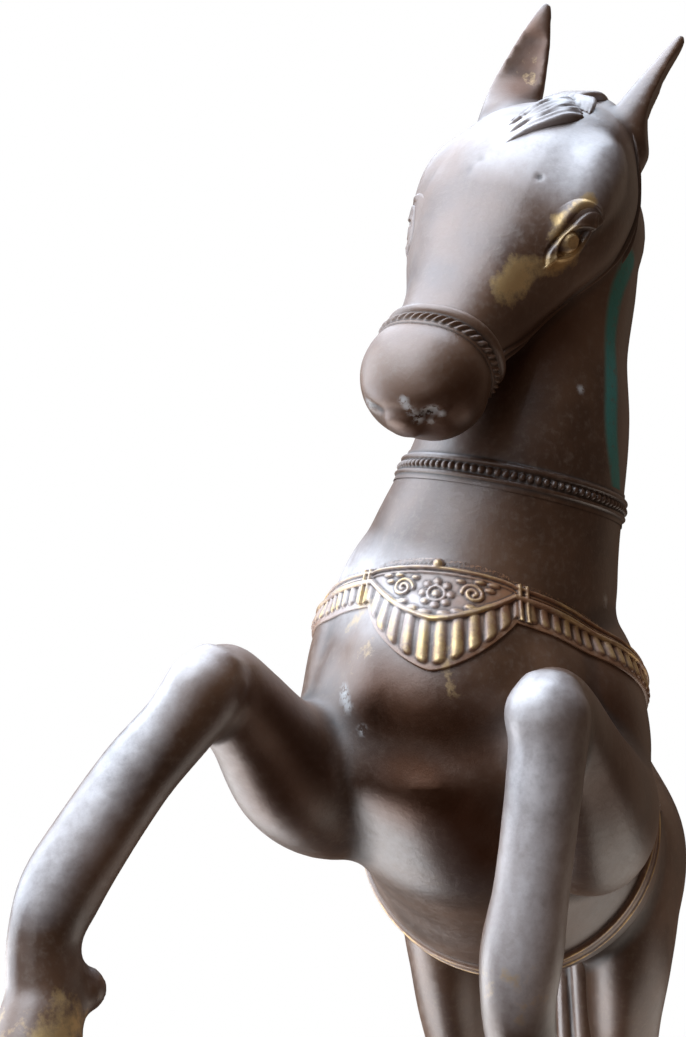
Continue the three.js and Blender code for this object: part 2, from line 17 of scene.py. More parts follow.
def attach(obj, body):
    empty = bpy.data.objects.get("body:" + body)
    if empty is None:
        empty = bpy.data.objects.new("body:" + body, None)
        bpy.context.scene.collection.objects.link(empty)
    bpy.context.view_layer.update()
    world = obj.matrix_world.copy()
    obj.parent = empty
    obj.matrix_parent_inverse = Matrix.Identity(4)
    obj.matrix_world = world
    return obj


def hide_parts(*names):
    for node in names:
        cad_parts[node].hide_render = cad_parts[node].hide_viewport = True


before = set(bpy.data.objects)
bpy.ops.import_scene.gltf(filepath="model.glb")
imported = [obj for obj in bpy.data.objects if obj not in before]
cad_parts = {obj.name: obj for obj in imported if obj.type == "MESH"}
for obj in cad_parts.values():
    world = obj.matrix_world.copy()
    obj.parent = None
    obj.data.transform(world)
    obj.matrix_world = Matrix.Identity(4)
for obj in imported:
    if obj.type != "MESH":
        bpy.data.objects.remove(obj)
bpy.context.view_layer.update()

# %% [markdown]
# ## The figure's own measure
# The forms are given in thousandths of the figure's height, with z counted from the soles.

# %% Figure points
SHARE = 0.86e-3
SOLES = 0.0343
MM = 0.001


def at(x, y, z):
    return np.array([x * SHARE, y * SHARE, z * SHARE + SOLES])


def unit(v):
    v = np.asarray(v, float)
    return v / np.linalg.norm(v, axis=-1, keepdims=True)


# %% [markdown]
# The camera stands a little to the horse's left, low and looking up, as in the photograph.

# %% Camera
LONG_SIDE = 1037
FOCAL_PIXELS = 1600


def make_camera():
    turn, pitch = math.radians(18), math.radians(12)
    data = bpy.data.cameras.new("camera")
    data.sensor_fit = "AUTO"
    data.sensor_width = 36
    data.lens = 36 * FOCAL_PIXELS / LONG_SIDE
    camera = bpy.data.objects.new("camera", data)
    camera.location = at(253.2, -1198.4, 420)
    camera.rotation_euler = (math.pi / 2 + pitch, 0, turn)
    bpy.context.scene.collection.objects.link(camera)
    bpy.context.scene.camera = camera
    return camera


camera = make_camera()
print("camera at", [round(v, 3) for v in camera.location])

# %% [markdown]
# ## Lofted forms
# A form is a row of sections along a smooth line through its stations. A station is
# (point, half width, half depth, half depth on the other side).

# %% Curves and lofts
def smooth_curve(points, steps):
    """Points on a uniform Catmull-Rom curve, with `steps` of them per span."""
    points = np.asarray(points, float)
    padded = np.vstack([2 * points[0] - points[1], points, 2 * points[-1] - points[-2]])
    u = np.linspace(0, len(points) - 1, (len(points) - 1) * steps + 1)
    i = np.minimum(u.astype(int), len(points) - 2)
    t = (u - i)[:, None]
    a, b, c, d = (padded[i + k] for k in range(4))
    cubic = -a + 3 * b - 3 * c + d
    square = 2 * a - 5 * b + 4 * c - d
    return 0.5 * (2 * b + (c - a) * t + square * t**2 + cubic * t**3)


class Shells:
    """Closed shells gathered for one mesh."""

    def __init__(self):
        self.points = []
        self.faces = []

    def add_rings(self, rings, start, end):
        base = len(self.points)
        rows, sides = len(rings), len(rings[0])
        for ring in rings:
            self.points.extend(ring)
        self.points.extend([start, end])
        first, last = base + rows * sides, base + rows * sides + 1
        for i in range(rows - 1):
            for j in range(sides):
                k = (j + 1) % sides
                row, above = base + i * sides, base + (i + 1) * sides
                self.faces.append((row + j, row + k, above + k, above + j))
        for j in range(sides):
            k = (j + 1) % sides
            top = base + (rows - 1) * sides
            self.faces.append((first, base + k, base + j))
            self.faces.append((last, top + j, top + k))

    def mesh(self, name):
        mesh = bpy.data.meshes.new(name)
        mesh.from_pydata([tuple(p) for p in self.points], [], self.faces)
        mesh.update()
        return mesh


def loft(shells, stations, side=(1, 0, 0), full=1.0, dome=0.45, sides=40, steps=6, flute=None):
    spine = smooth_curve([s[0] for s in stations], steps)
    sizes = smooth_curve([(s[1], s[2], s[3] if len(s) > 3 else s[2]) for s in stations], steps)
    sizes = sizes * SHARE
    along = unit(np.gradient(spine, axis=0))
    side = np.asarray(side, float)
    across = unit(side - along * (along @ side)[:, None])
    deep = np.cross(across, along)
    angle = np.linspace(0, 2 * math.pi, sides, endpoint=False)
    c, s = np.cos(angle), np.sin(angle)
    c, s = np.sign(c) * abs(c) ** full, np.sign(s) * abs(s) ** full
    groove = np.ones(sides) if flute is None else flute(angle)
    caps = [0.38, 0.71, 0.92]

    def ring(i, shrink=1.0, lift=0.0):
        wide, far, near = sizes[i] * shrink
        depth = np.where(s > 0, far, near)
        centre = spine[i] + along[i] * lift
        return (
            centre
            + np.outer(groove * wide * c, across[i])
            + np.outer(groove * depth * s, deep[i])
        )

    end = len(spine) - 1
    reach = [dome * min(sizes[0][:2]), dome * min(sizes[end][:2])]
    rings = [ring(0, math.sqrt(1 - q * q), -q * reach[0]) for q in reversed(caps)]
    rings += [ring(i) for i in range(end + 1)]
    rings += [ring(end, math.sqrt(1 - q * q), q * reach[1]) for q in caps]
    shells.add_rings(rings, spine[0] - along[0] * reach[0], spine[end] + along[end] * reach[1])


# %% [markdown]
# ## Bare body: trunk, neck, shoulders and legs

# %% Trunk and neck
TRUNK = [
    (at(0, -240, 544), 56, 60),
    (at(0, -226, 538), 77, 82),
    (at(0, -203, 525), 92, 98),
    (at(1, -150, 500), 105, 112),
    (at(3, -92, 470), 101, 107),
    (at(2, -30, 441), 106, 103),
    (at(1, 40, 432), 99, 94),
    (at(0, 108, 436), 94, 92),
    (at(0, 165, 434), 86, 88),
    (at(0, 208, 420), 64, 66),
    (at(0, 228, 408), 34, 38),
]
NECK = [
    (at(4, -112, 470), 80, 88, 74),
    (at(1, -136, 560), 99, 113, 96),
    (at(20, -152, 618), 86, 92, 96),
    (at(38, -162, 668), 74, 78, 94),
    (at(50, -162, 716), 67, 70, 88),
    (at(59, -160, 764), 58, 66, 82),
    (at(70, -160, 812), 55, 62, 76),
    (at(80, -164, 858), 50, 52, 66),
    (at(84, -172, 892), 38, 40, 46),
]
SHOULDERS = [
    [
        (at(44, -108, 594), 16, 34),
        (at(72, -124, 556), 33, 56),
        (at(78, -148, 505), 42, 62),
        (at(80, -165, 460), 40, 50),
    ],
    [
        (at(-44, -124, 606), 20, 38),
        (at(-64, -144, 566), 38, 58),
        (at(-68, -170, 508), 40, 60),
        (at(-74, -186, 468), 40, 50),
    ],
]


def add_trunk(shells):
    loft(shells, TRUNK, sides=72, steps=8)
    loft(shells, NECK, sides=64, steps=8)
    for stations in SHOULDERS:
        loft(shells, stations, sides=48, steps=8)


# %% Forelegs
LEFT_FORELEG = [
    [
        (at(64, -110, 470), 44, 56),
        (at(80, -160, 452), 46, 56),
        (at(86, -212, 460), 38, 46),
        (at(88, -262, 482), 29, 34),
        (at(87, -306, 502), 23, 25),
        (at(86, -322, 506), 15, 16),
    ],
    [
        (at(88, -318, 514), 17, 18),
        (at(87, -321, 500), 24, 25),
        (at(86, -319, 480), 22, 22),
        (at(80, -315, 441), 21, 21),
        (at(73, -310, 402), 21, 22),
        (at(66, -305, 370), 23, 24),
        (at(62, -298, 344), 21, 22),
        (at(60, -284, 322), 20, 20),
    ],
]
RIGHT_FORELEG = [
    [
        (at(-52, -135, 484), 44, 48),
        (at(-76, -184, 467), 46, 48, 54),
        (at(-91, -238, 474), 39, 44, 44),
        (at(-99, -288, 500), 29, 33),
        (at(-104, -328, 520), 24, 26),
        (at(-105, -343, 527), 16, 17),
    ],
    [
        (at(-99, -341, 532), 17, 18),
        (at(-106, -343, 518), 24, 25),
        (at(-124, -345, 495), 22, 22),
        (at(-148, -348, 468), 23, 21),
        (at(-173, -353, 431), 24, 22),
        (at(-190, -356, 402), 24, 25),
        (at(-197, -360, 376), 21, 22),
        (at(-196, -360, 350), 22, 22),
    ],
]


def ball(shells, centre, radius):
    centre = np.asarray(centre)
    up = np.array([0, 0, 0.4 * radius * SHARE])
    tips = [(centre + k * up, radius * math.sqrt(1 - (0.4 * k) ** 2)) for k in (-2, -1, 0, 1, 2)]
    loft(shells, [(p, r, r) for p, r in tips], sides=24, steps=2, dome=0.4)


def hoof(shells, coronet, down, length, forward=(0, -1, 0)):
    along = unit(down)
    ahead = unit(np.asarray(forward) - along * np.dot(forward, along))
    across = np.cross(ahead, along)
    rows = [
        (-0.14, 15, 15, 0),
        (-0.02, 21.5, 22, 0),
        (0.06, 22.5, 23.5, 0.5),
        (0.5, 25.5, 27.5, 4),
        (0.94, 28, 31, 8),
        (1, 26.5, 29.5, 8),
    ]
    angle = np.linspace(0, 2 * math.pi, 40, endpoint=False)
    rings = []
    for share, wide, deep, lead in rows:
        centre = coronet + along * share * length * SHARE + ahead * lead * SHARE
        ring = centre + np.outer(np.cos(angle) * wide * SHARE, across)
        rings.append(ring + np.outer(np.sin(angle) * deep * SHARE, ahead))
    shells.add_rings(rings, rings[0].mean(0), rings[-1].mean(0))


def add_forelegs(shells):
    for stations in LEFT_FORELEG + RIGHT_FORELEG:
        loft(shells, stations, sides=40, steps=8)
    hoof(shells, at(58, -280, 316), (-0.05, 0.52, -0.85), 44)
    ball(shells, at(-180, -343, 347), 13)
    hoof(shells, at(-195, -361, 344), (-0.04, -0.1, -1), 52)


# %% Hind legs
def add_hindleg(shells, way, stifle, x, y):
    knee = stifle + (x - stifle) * 0.6
    stations = [
        (at(way * 42, y + 32, 488), 42, 58),
        (at(way * 62, y + 24, 434), 47, 74),
        (at(stifle, y, 380), 38, 62),
        (at(stifle - way * 2, y - 6, 338), 33, 48),
        (at(knee, y + 10, 296), 28, 38),
        (at(x + way * 2, y + 44, 246), 21, 28),
        (at(x + way * 2, y + 64, 206), 19, 27),
        (at(x + way, y + 57, 168), 17, 21),
        (at(x, y + 47, 122), 15, 18),
        (at(x, y + 38, 84), 17, 20),
        (at(x, y + 26, 60), 17, 20),
        (at(x, y + 12, 38), 17, 18),
    ]
    loft(shells, stations, sides=44, steps=8)
    ball(shells, at(x, y + 50, 72), 11)
    hoof(shells, at(x, y + 8, 36), (0, 0, -1), 36)


# %% [markdown]
# ## Head
# The head has its own frame: down the nose from the poll, to the horse's left, and out of the
# forehead.

# %% Head frame
POLL = (85, -174, 914)
NOSEWARD = unit((-0.312, -0.464, -0.829))
HEAD_LEFT = np.array([0.948, -0.207, -0.24])
HEAD_LEFT = unit(HEAD_LEFT - NOSEWARD * (HEAD_LEFT @ NOSEWARD))
FACE = np.cross(NOSEWARD, HEAD_LEFT)


def on_head(down, left, out):
    return at(*POLL) + SHARE * (down * NOSEWARD + left * HEAD_LEFT + out * FACE)


def head_coordinates(points):
    q = (points - at(*POLL)) / SHARE
    return np.stack([q @ NOSEWARD, q @ HEAD_LEFT, q @ FACE], axis=1)


# %% Skull, jowls, brows and ears
SKULL = [
    (on_head(-24, 0, -26), 30, 34, 30),
    (on_head(0, 0, -16), 46, 44, 32),
    (on_head(34, -2, -8), 64, 50, 48),
    (on_head(66, -3, -8), 72, 52, 56),
    (on_head(100, -4, -8), 72, 48, 52),
    (on_head(138, -4, -8), 58, 40, 42),
    (on_head(176, -2, -8), 44, 34, 35),
    (on_head(212, -1, -8), 36, 33, 32),
    (on_head(238, -2, -8), 41, 38, 36),
    (on_head(256, -2, -9), 38, 36, 33),
    (on_head(270, -2, -10), 28, 27, 24),
    (on_head(277, -2, -11), 13, 13, 12),
]


def add_face(shells, way):
    jowl = [
        (on_head(22, way * 32, -36), 16, 24),
        (on_head(50, way * 40, -50), 20, 36),
        (on_head(86, way * 38, -50), 20, 36),
        (on_head(126, way * 26, -38), 15, 24),
        (on_head(164, way * 18, -30), 8, 12),
    ]
    brow = [
        (on_head(34, way * 34, 10), 13, 13),
        (on_head(66, way * 49, 17), 21, 21),
        (on_head(98, way * 49, 12), 21, 21),
        (on_head(128, way * 40, 7), 14, 14),
        (on_head(152, way * 31, 4), 8, 8),
    ]
    loft(shells, jowl, side=HEAD_LEFT, sides=32)
    loft(shells, brow, side=HEAD_LEFT, sides=24)


EARS = [
    ((116, -170, 890), (164, -159, 980), (0.95, 0.2, -0.2), 1),
    ((40, -180, 916), (73, -174, 1013), (0.1, -1, 0), 0.94),
]


def add_ear(shells, base, tip, opening, size):
    """A leaf whose open side is pressed into a hollow."""
    foot = at(*base)
    along = at(*tip) - foot
    side = unit(np.cross(unit(along), opening))
    out = np.cross(side, unit(along))
    widths = [20, 21, 20, 16, 11, 3.5]
    depths = [20, 20, 17, 13, 8, 3.5]
    spots = np.linspace(-0.15, 0.97, 6)
    sizes = smooth_curve([(w, d, q) for w, d, q in zip(widths, depths, spots)], 12)
    angle = np.linspace(0, 2 * math.pi, 64, endpoint=False)
    rings = []
    for wide, deep, q in sizes:
        hollow = 0.85 * np.clip((q - 0.1) / 0.32, 0, 1) * np.clip((0.93 - q) / 0.25, 0, 1)
        depth = np.sin(angle)
        depth = depth - hollow * np.clip((depth - 0.35) / 0.65, 0, 1)
        ring = foot + along * q + size * SHARE * wide * np.outer(np.cos(angle), side)
        rings.append(ring + size * SHARE * deep * np.outer(depth, out))
    shells.add_rings(rings, rings[0].mean(0), rings[-1].mean(0) + unit(along) * 2 * SHARE)


def off_ears(points):
    """0 on the blades of the ears and 1 elsewhere."""
    free = np.ones(len(points))
    for base, tip, _, _ in EARS:
        foot, along = at(*base), at(*tip) - at(*base)
        q = (points - foot) @ along / (along @ along)
        away = np.linalg.norm(points - foot - np.outer(q, along), axis=1) / SHARE
        free = np.minimum(free, np.maximum(np.clip((0.3 - q) / 0.12, 0, 1), away > 34))
    return free


def add_head(shells):
    loft(shells, SKULL, side=HEAD_LEFT, full=0.88, sides=64, steps=8)
    add_face(shells, 1)
    add_face(shells, -1)
    for base, tip, opening, size in EARS:
        add_ear(shells, base, tip, opening, size)


# %% [markdown]
# ## One skin
# The overlapping forms are remeshed into one skin, and the creases where they meet are relaxed.

# %% Remesh and relax
def link(mesh, name):
    piece = bpy.data.objects.new(name, mesh)
    bpy.context.scene.collection.objects.link(piece)
    return piece


def remeshed(shells, name, voxel):
    piece = link(shells.mesh(name), name)
    remesh = piece.modifiers.new("remesh", "REMESH")
    remesh.mode = "VOXEL"
    remesh.voxel_size = voxel
    graph = bpy.context.evaluated_depsgraph_get()
    made = bpy.data.meshes.new_from_object(piece.evaluated_get(graph))
    piece.modifiers.clear()
    piece.data = made
    print(name, "has", len(made.polygons), "faces")
    return piece


def points_of(mesh):
    co = np.empty(len(mesh.vertices) * 3)
    mesh.vertices.foreach_get("co", co)
    return co.reshape(-1, 3)


def put_points(mesh, points):
    mesh.vertices.foreach_set("co", points.ravel())
    mesh.update()


def edges_of(mesh):
    pairs = np.empty(len(mesh.edges) * 2, dtype=np.int64)
    mesh.edges.foreach_get("vertices", pairs)
    return pairs.reshape(-1, 2)


def neighbour_mean(values, pairs, count):
    """The mean of each vertex's neighbours, for a column or for a table of columns."""
    values = values.reshape(count, -1)
    total = np.zeros_like(values)
    number = np.bincount(pairs.ravel(), minlength=count)
    for k in range(values.shape[1]):
        total[:, k] = np.bincount(pairs[:, 0], values[pairs[:, 1], k], count)
        total[:, k] += np.bincount(pairs[:, 1], values[pairs[:, 0], k], count)
    return total / np.maximum(number, 1)[:, None]


def relax(mesh, rounds, weight=1.0, pull=0.5):
    """Evens the skin out. Every second step pushes back, so thin parts keep their girth."""
    points, pairs = points_of(mesh), edges_of(mesh)
    weight = np.broadcast_to(weight, len(points))[:, None]
    for i in range(rounds):
        step = pull if i % 2 == 0 else -pull * 1.03
        points += step * weight * (neighbour_mean(points, pairs, len(points)) - points)
    put_points(mesh, points)


# %% Fillets
def normals_of(mesh):
    out = np.empty(len(mesh.vertices) * 3)
    mesh.vertices.foreach_get("normal", out)
    return out.reshape(-1, 3)


def hollow_of(mesh, rounds):
    """How deep each vertex lies below its surroundings, in millimetres. Ridges are negative."""
    points, pairs = points_of(mesh), edges_of(mesh)
    around = points.copy()
    for _ in range(rounds):
        around = neighbour_mean(around, pairs, len(points))
    return np.einsum("ij,ij->i", around - points, normals_of(mesh)) / MM


def fillet(mesh, rounds, sharp, free=1.0):
    """Rounds the hollow creases where forms meet and leaves the rest alone."""
    pairs = edges_of(mesh)
    count = len(mesh.vertices)
    weight = np.clip(hollow_of(mesh, 4) / sharp, 0, 1) * free
    for _ in range(3):
        weight = np.maximum(weight, neighbour_mean(weight, pairs, count)[:, 0] * 1.15)
    weight = np.clip(weight, 0, 1)[:, None]
    points = points_of(mesh)
    for _ in range(rounds):
        points += 0.5 * weight * (neighbour_mean(points, pairs, count) - points)
    put_points(mesh, points)


def smooth_shaded(piece):
    piece.data.polygons.foreach_set("use_smooth", [True] * len(piece.data.polygons))
    return piece


# %% [markdown]
# The skin is made in two parts, finer for the head. They meet under the neck band.

# %% Body and head skins
BAND_CENTRE = at(36, -160, 664)
BAND_AXIS = unit((0.24, -0.06, 0.97))


def cut_at_band(piece, keep_above):
    shape = bmesh.new()
    shape.from_mesh(piece.data)
    bmesh.ops.bisect_plane(
        shape,
        geom=shape.verts[:] + shape.edges[:] + shape.faces[:],
        plane_co=BAND_CENTRE,
        plane_no=BAND_AXIS,
        clear_outer=not keep_above,
        clear_inner=keep_above,
    )
    shape.to_mesh(piece.data)
    shape.free()


def soft_stroke(points, path, radius):
    """1 along a path of figure points, fading to 0 a little more than `radius` away from it."""
    steps = [at(*path[0])]
    for a, b in zip(path, path[1:]):
        for t in (0.25, 0.5, 0.75, 1):
            steps.append(at(*a) * (1 - t) + at(*b) * t)
    away = np.full(len(points), np.inf)
    for step in steps:
        away = np.minimum(away, np.linalg.norm(points - step, axis=1))
    return np.clip(1.25 - away / (radius * SHARE), 0, 1)


CHEST_FOLDS = [
    ([(-50, -250, 470), (0, -256, 466), (50, -240, 470)], 58),
    ([(-52, -246, 560), (-56, -252, 520)], 36),
    ([(52, -250, 560), (56, -254, 520)], 36),
]


TEMPLES = [
    ([(105, -237, 878), (116, -247, 861), (122, -243, 841)], 20),
    ([(104, -253, 852), (95, -259, 834), (87, -262, 814)], 18),
    ([(28, -220, 897), (8, -223, 889), (-5, -215, 874)], 20),
]


def soften(mesh, strokes, rounds):
    """Evens the skin out along strokes only."""
    points, pairs, out = points_of(mesh), edges_of(mesh), normals_of(mesh)
    weight = np.max([soft_stroke(points, *stroke) for stroke in strokes], axis=0)
    for _ in range(rounds):
        step = neighbour_mean(points, pairs, len(points)) - points
        points += out * (0.5 * weight * np.einsum("ij,ij->i", step, out))[:, None]
    put_points(mesh, points)


def make_body():
    shells = Shells()
    add_trunk(shells)
    add_forelegs(shells)
    add_hindleg(shells, 1, 66, 52, 112)
    add_hindleg(shells, -1, -77, -76, 104)
    body = remeshed(shells, "body", 2.85 * MM)
    relax(body.data, 24)
    fillet(body.data, 30, 0.3)
    soften(body.data, CHEST_FOLDS, 70)
    relax(body.data, 6)
    cut_at_band(body, keep_above=False)
    return smooth_shaded(body)


def make_head():
    shells = Shells()
    loft(shells, NECK, sides=96, steps=12)
    add_head(shells)
    head = remeshed(shells, "head", 1.4 * MM)
    relax(head.data, 10)
    fillet(head.data, 26, 0.2, off_ears(points_of(head.data)))
    relax(head.data, 6)
    soften(head.data, [([base, tip], 36) for base, tip, _, _ in EARS], 10)
    soften(head.data, TEMPLES, 140)
    cut_at_band(head, keep_above=True)
    return smooth_shaded(head)


body = make_body()
head = make_head()


# %% [markdown]
# ## Carving the face
# Hollows are pressed into the head's skin with soft round tools.

# %% Press tools
def gauss(distance, width):
    return np.exp(-((distance / width) ** 2))


def press(mesh, centre, radii, depth):
    """Moves the skin in by `depth` figure units within a soft ellipsoid in the head's frame."""
    points = points_of(mesh)
    away = (head_coordinates(points) - np.asarray(centre, float)) / np.asarray(radii, float)
    weight = np.exp(-np.einsum("ij,ij->i", away, away))
    points -= normals_of(mesh) * (weight * depth * SHARE)[:, None]
    put_points(mesh, points)


def carve_face(mesh):
    for way in (-1, 1):
        press(mesh, (165, way * 38, 8), (30, 10, 12), 2)
        press(mesh, (150, way * 46, -22), (36, 14, 9), -1.8)
        press(mesh, (236, way * 30, -22), (8, 14, 10), 1.6)
        press(mesh, (272, way * 16, -2), (5, 8, 4), 5.5)
        press(mesh, (266, way * 19, 8), (5, 10, 5), -1.6)
        press(mesh, (274, way * 26, -4), (5, 5, 4), -1.4)
    press(mesh, (262, 0, -36), (16, 26, 2.6), 2.6)
    press(mesh, (100, -20, 42), (7, 5, 9), 0.8)
    press(mesh, (92, -14, 44), (4, 4, 6), 0.6)
    press(mesh, (102, 30, 38), (2.2, 2.2, 5), 1.2)


carve_face(head.data)


# %% [markdown]
# ## Relief laid on the skin
# A relief is a fine grid. Each of its points is cast from inside the body to the skin and lifted
# by the carving's height. Where the height is below zero the sheet dives under the skin.

# %% Relief sheets
def skin_tree(piece):
    return BVHTree.FromObject(piece, bpy.context.evaluated_depsgraph_get())


def relief(name, tree, origins, outs, heights, closed=False):
    """`origins` and `outs` are rows x columns x 3, `heights` rows x columns in millimetres."""
    rows, columns = heights.shape
    points = np.empty((rows, columns, 3))
    for i in range(rows):
        for j in range(columns):
            origin, out = Vector(origins[i, j]), Vector(outs[i, j])
            hit = tree.ray_cast(origin, out)[0]
            if hit is None:
                raise ValueError(f"{name}: no skin at row {i}, column {j}")
            points[i, j] = hit + out * (heights[i, j] * MM)
    index = np.arange(rows * columns).reshape(rows, columns)
    if closed:
        index = np.vstack([index, index[:1]])
    corners = [index[:-1, :-1], index[:-1, 1:], index[1:, 1:], index[1:, :-1]]
    faces = np.stack([c.ravel() for c in corners], axis=1)
    mesh = bpy.data.meshes.new(name)
    mesh.from_pydata(points.reshape(-1, 3).tolist(), [], faces.tolist())
    mesh.update()
    outward = np.einsum("ij,ij->i", normals_of(mesh), outs.reshape(-1, 3)).mean()
    if outward < 0:
        mesh.flip_normals()
    piece = smooth_shaded(link(mesh, name))
    store(mesh, "height", heights.ravel())
    print(name, "has", len(faces), "faces")
    return piece


def store(mesh, name, values):
    layer = mesh.attributes.get(name) or mesh.attributes.new(name, "FLOAT", "POINT")
    layer.data.foreach_set("value", np.asarray(values, np.float32))


def ridge(distance, half, height):
    """A rounded ridge, and zero outside its half width."""
    inside = np.clip(1 - (distance / half) ** 2, 0, None)
    return height * np.sqrt(inside)


# %% Belts round the body
def belt_casts(centre, axis, count, shifts):
    axis = unit(axis)
    start = unit(np.array([1.0, 0, 0]) - axis * axis[0])
    other = np.cross(axis, start)
    turn = np.linspace(0, 2 * math.pi, count, endpoint=False)
    outs = np.outer(np.cos(turn), start) + np.outer(np.sin(turn), other)
    outs = np.repeat(outs[:, None], len(shifts), axis=1)
    origins = centre + np.asarray(shifts)[None, :, None] * MM * axis + np.zeros((count, 1, 1))
    return turn[:, None], origins, outs


def make_noseband(tree):
    shift = np.arange(-9.5, 9.51, 0.5)
    turn, origins, outs = belt_casts(on_head(219, 0, -8), NOSEWARD, 720, shift)
    s = -shift[None, :]
    rope = 0.72 + 0.28 * np.cos(44 * turn + 1.1 * s)
    height = np.where(abs(s) < 7.6, 0.9, -1.2)
    height = np.maximum(height, ridge(s - 4.3, 3.3, 3.8))
    height = np.maximum(height, ridge(s + 2.9, 3.2, 3.4) * rope)
    return relief("noseband", tree, origins, outs, height, closed=True)


def make_neck_band(tree):
    shift = np.arange(-9, 9.01, 0.6)
    turn, origins, outs = belt_casts(BAND_CENTRE, BAND_AXIS, 1100, shift)
    s = shift[None, :]
    bead = np.mod(turn * 96 / (2 * math.pi), 1) - 0.5
    beads = 2.3 * np.sqrt(np.clip(1 - (bead / 0.46) ** 2 - (s / 2.3) ** 2, 0, None))
    height = np.where(abs(s) < 6, 0.7, -1.2)
    height = np.maximum(height, ridge(s - 4.4, 1.9, 2.7))
    height = np.maximum(height, ridge(s + 4.4, 1.5, 2.2))
    height = np.maximum(height, 0.6 + beads)
    return relief("neck_band", tree, origins, outs, height + 0 * turn, closed=True)


def make_girth(tree):
    shift = np.arange(-11.5, 11.51, 0.75)
    turn, origins, outs = belt_casts(at(2, -45, 444), (0, 0.97, -0.2), 560, shift)
    s = shift[None, :]
    height = np.where(abs(s) < 8.5, 1.9, -1.2)
    height = np.maximum(height, ridge(s - 7.2, 1.6, 3))
    height = np.maximum(height, ridge(s + 7.2, 1.6, 3))
    height = np.maximum(height, ridge(s, 1.1, 2.5))
    return relief("girth", tree, origins, outs, height + 0 * turn, closed=True)


# %% Cheek straps
STRAP_PATH = [(216, -4), (188, -22), (160, -32), (118, -28), (80, -28), (46, -20), (16, 0), (-8, 24)]


def make_cheek_strap(tree, way):
    path = smooth_curve([(d, a, 0) for d, a in STRAP_PATH], 40)
    turn = np.radians(path[:, 1])
    outs = way * np.outer(np.cos(turn), HEAD_LEFT) + np.outer(np.sin(turn), FACE)
    across = np.cross(NOSEWARD, outs)
    middle = on_head(0, 0, -10) + np.outer(path[:, 0], NOSEWARD) * SHARE
    shift = np.arange(-5.2, 5.21, 0.4)
    origins = middle[:, None] + shift[None, :, None] * MM * across[:, None]
    outs = np.repeat(outs[:, None], len(shift), axis=1)
    s = shift[None, :]
    height = np.where(abs(s) < 3.4, 1.0, -1.2)
    height = np.maximum(height, ridge(s - 2.2, 1.3, 2.5))
    height = np.maximum(height, ridge(s + 2.2, 1.3, 2.5))
    ends = np.minimum(np.arange(len(path)), np.arange(len(path))[::-1])[:, None]
    height = np.where(ends < 2, -1.2, height + 0 * ends)
    name = "cheek_strap_left" if way > 0 else "cheek_strap_right"
    return relief(name, tree, origins, outs, height)


def make_bare_skull():
    """The skull without neck and ears, so that the straps stay on the head."""
    shells = Shells()
    loft(shells, SKULL, side=HEAD_LEFT, full=0.88, sides=64, steps=8)
    add_face(shells, 1)
    add_face(shells, -1)
    skull = remeshed(shells, "skull", 1.8 * MM)
    relax(skull.data, 8)
    fillet(skull.data, 16, 0.2)
    return skull


skull = make_bare_skull()
head_tree, body_tree, skull_tree = skin_tree(head), skin_tree(body), skin_tree(skull)
straps = [make_noseband(head_tree)]
straps += [make_cheek_strap(skull_tree, 1), make_cheek_strap(skull_tree, -1)]
bpy.data.objects.remove(skull)


# %% [markdown]
# ## Breast collar
# The plaque carries a flower between scrolls. Rounded lobes hang from its lower rim and from the
# side bands.

# %% Collar shape
COLLAR_REACH = 132
COLLAR_FRONT = 2.5
PLAQUE_REACH = 22
FLANK_REACH = 115
LOBES = 32
MM_PER_DEGREE = 1.72


def plaque_share(angle):
    return np.clip(1 - (abs(angle) / PLAQUE_REACH) ** 1.5, 0, None)


def collar_heights(angle, lift):
    """Height of the collar's carving, from the angle round the chest and the lift in mm."""
    share = plaque_share(angle)
    top = 4 + 3 * np.sqrt(share)
    foot = -4 - 21 * share
    long = 11 + 14 * share
    height = np.where((lift < top) & (lift > foot), 1.6, -1.6)
    height = np.maximum(height, ridge(lift - (top - 1.2), 1.3, 3.6))
    height = np.maximum(height, ridge(lift - (top - 3.9), 0.9, 2.6))
    height = np.maximum(height, ridge(lift - (foot + 1.4), 2.1, 4.6))
    height = np.maximum(height, lobes(angle, (foot - lift) / long, long))
    bars = [ridge(abs(angle) - spot, 0.85, 4.4) for spot in (23.4, 25.6)]
    on_bar = (lift < top + 0.8) & (lift > foot - long)
    height = np.where(on_bar, np.maximum(height, np.maximum(*bars)), height)
    x, y = angle * MM_PER_DEGREE, lift + 9
    height = np.maximum(height, np.where(lift < top - 4, flower(x, y), 0))
    knob = ridge(np.hypot(x, lift - 8), 3.1, 4.4)
    return np.where(knob > 0, np.maximum(height, knob), height)


def lobes(angle, along, long):
    """Half-round lobes side by side. `along` runs from 0 at the rim to 1 at their ends."""
    pitch = COLLAR_REACH / LOBES
    off = (np.mod(angle / pitch, 1) - 0.5) * pitch * MM_PER_DEGREE
    half = 0.47 * pitch * MM_PER_DEGREE * (0.9 + 0.1 * along)
    past = np.clip(along * long - (long - half), 0, None)
    inside = 1 - (off**2 + past**2) / half**2
    body = 3.5 * np.sqrt(np.clip(inside, 0, None)) * (0.86 + 0.14 * along)
    plate = np.where((along > -0.2) & (along < 0.86), 0.8, -1.6)
    return np.where((inside > 0) & (along > -0.2), np.maximum(body, plate), plate)


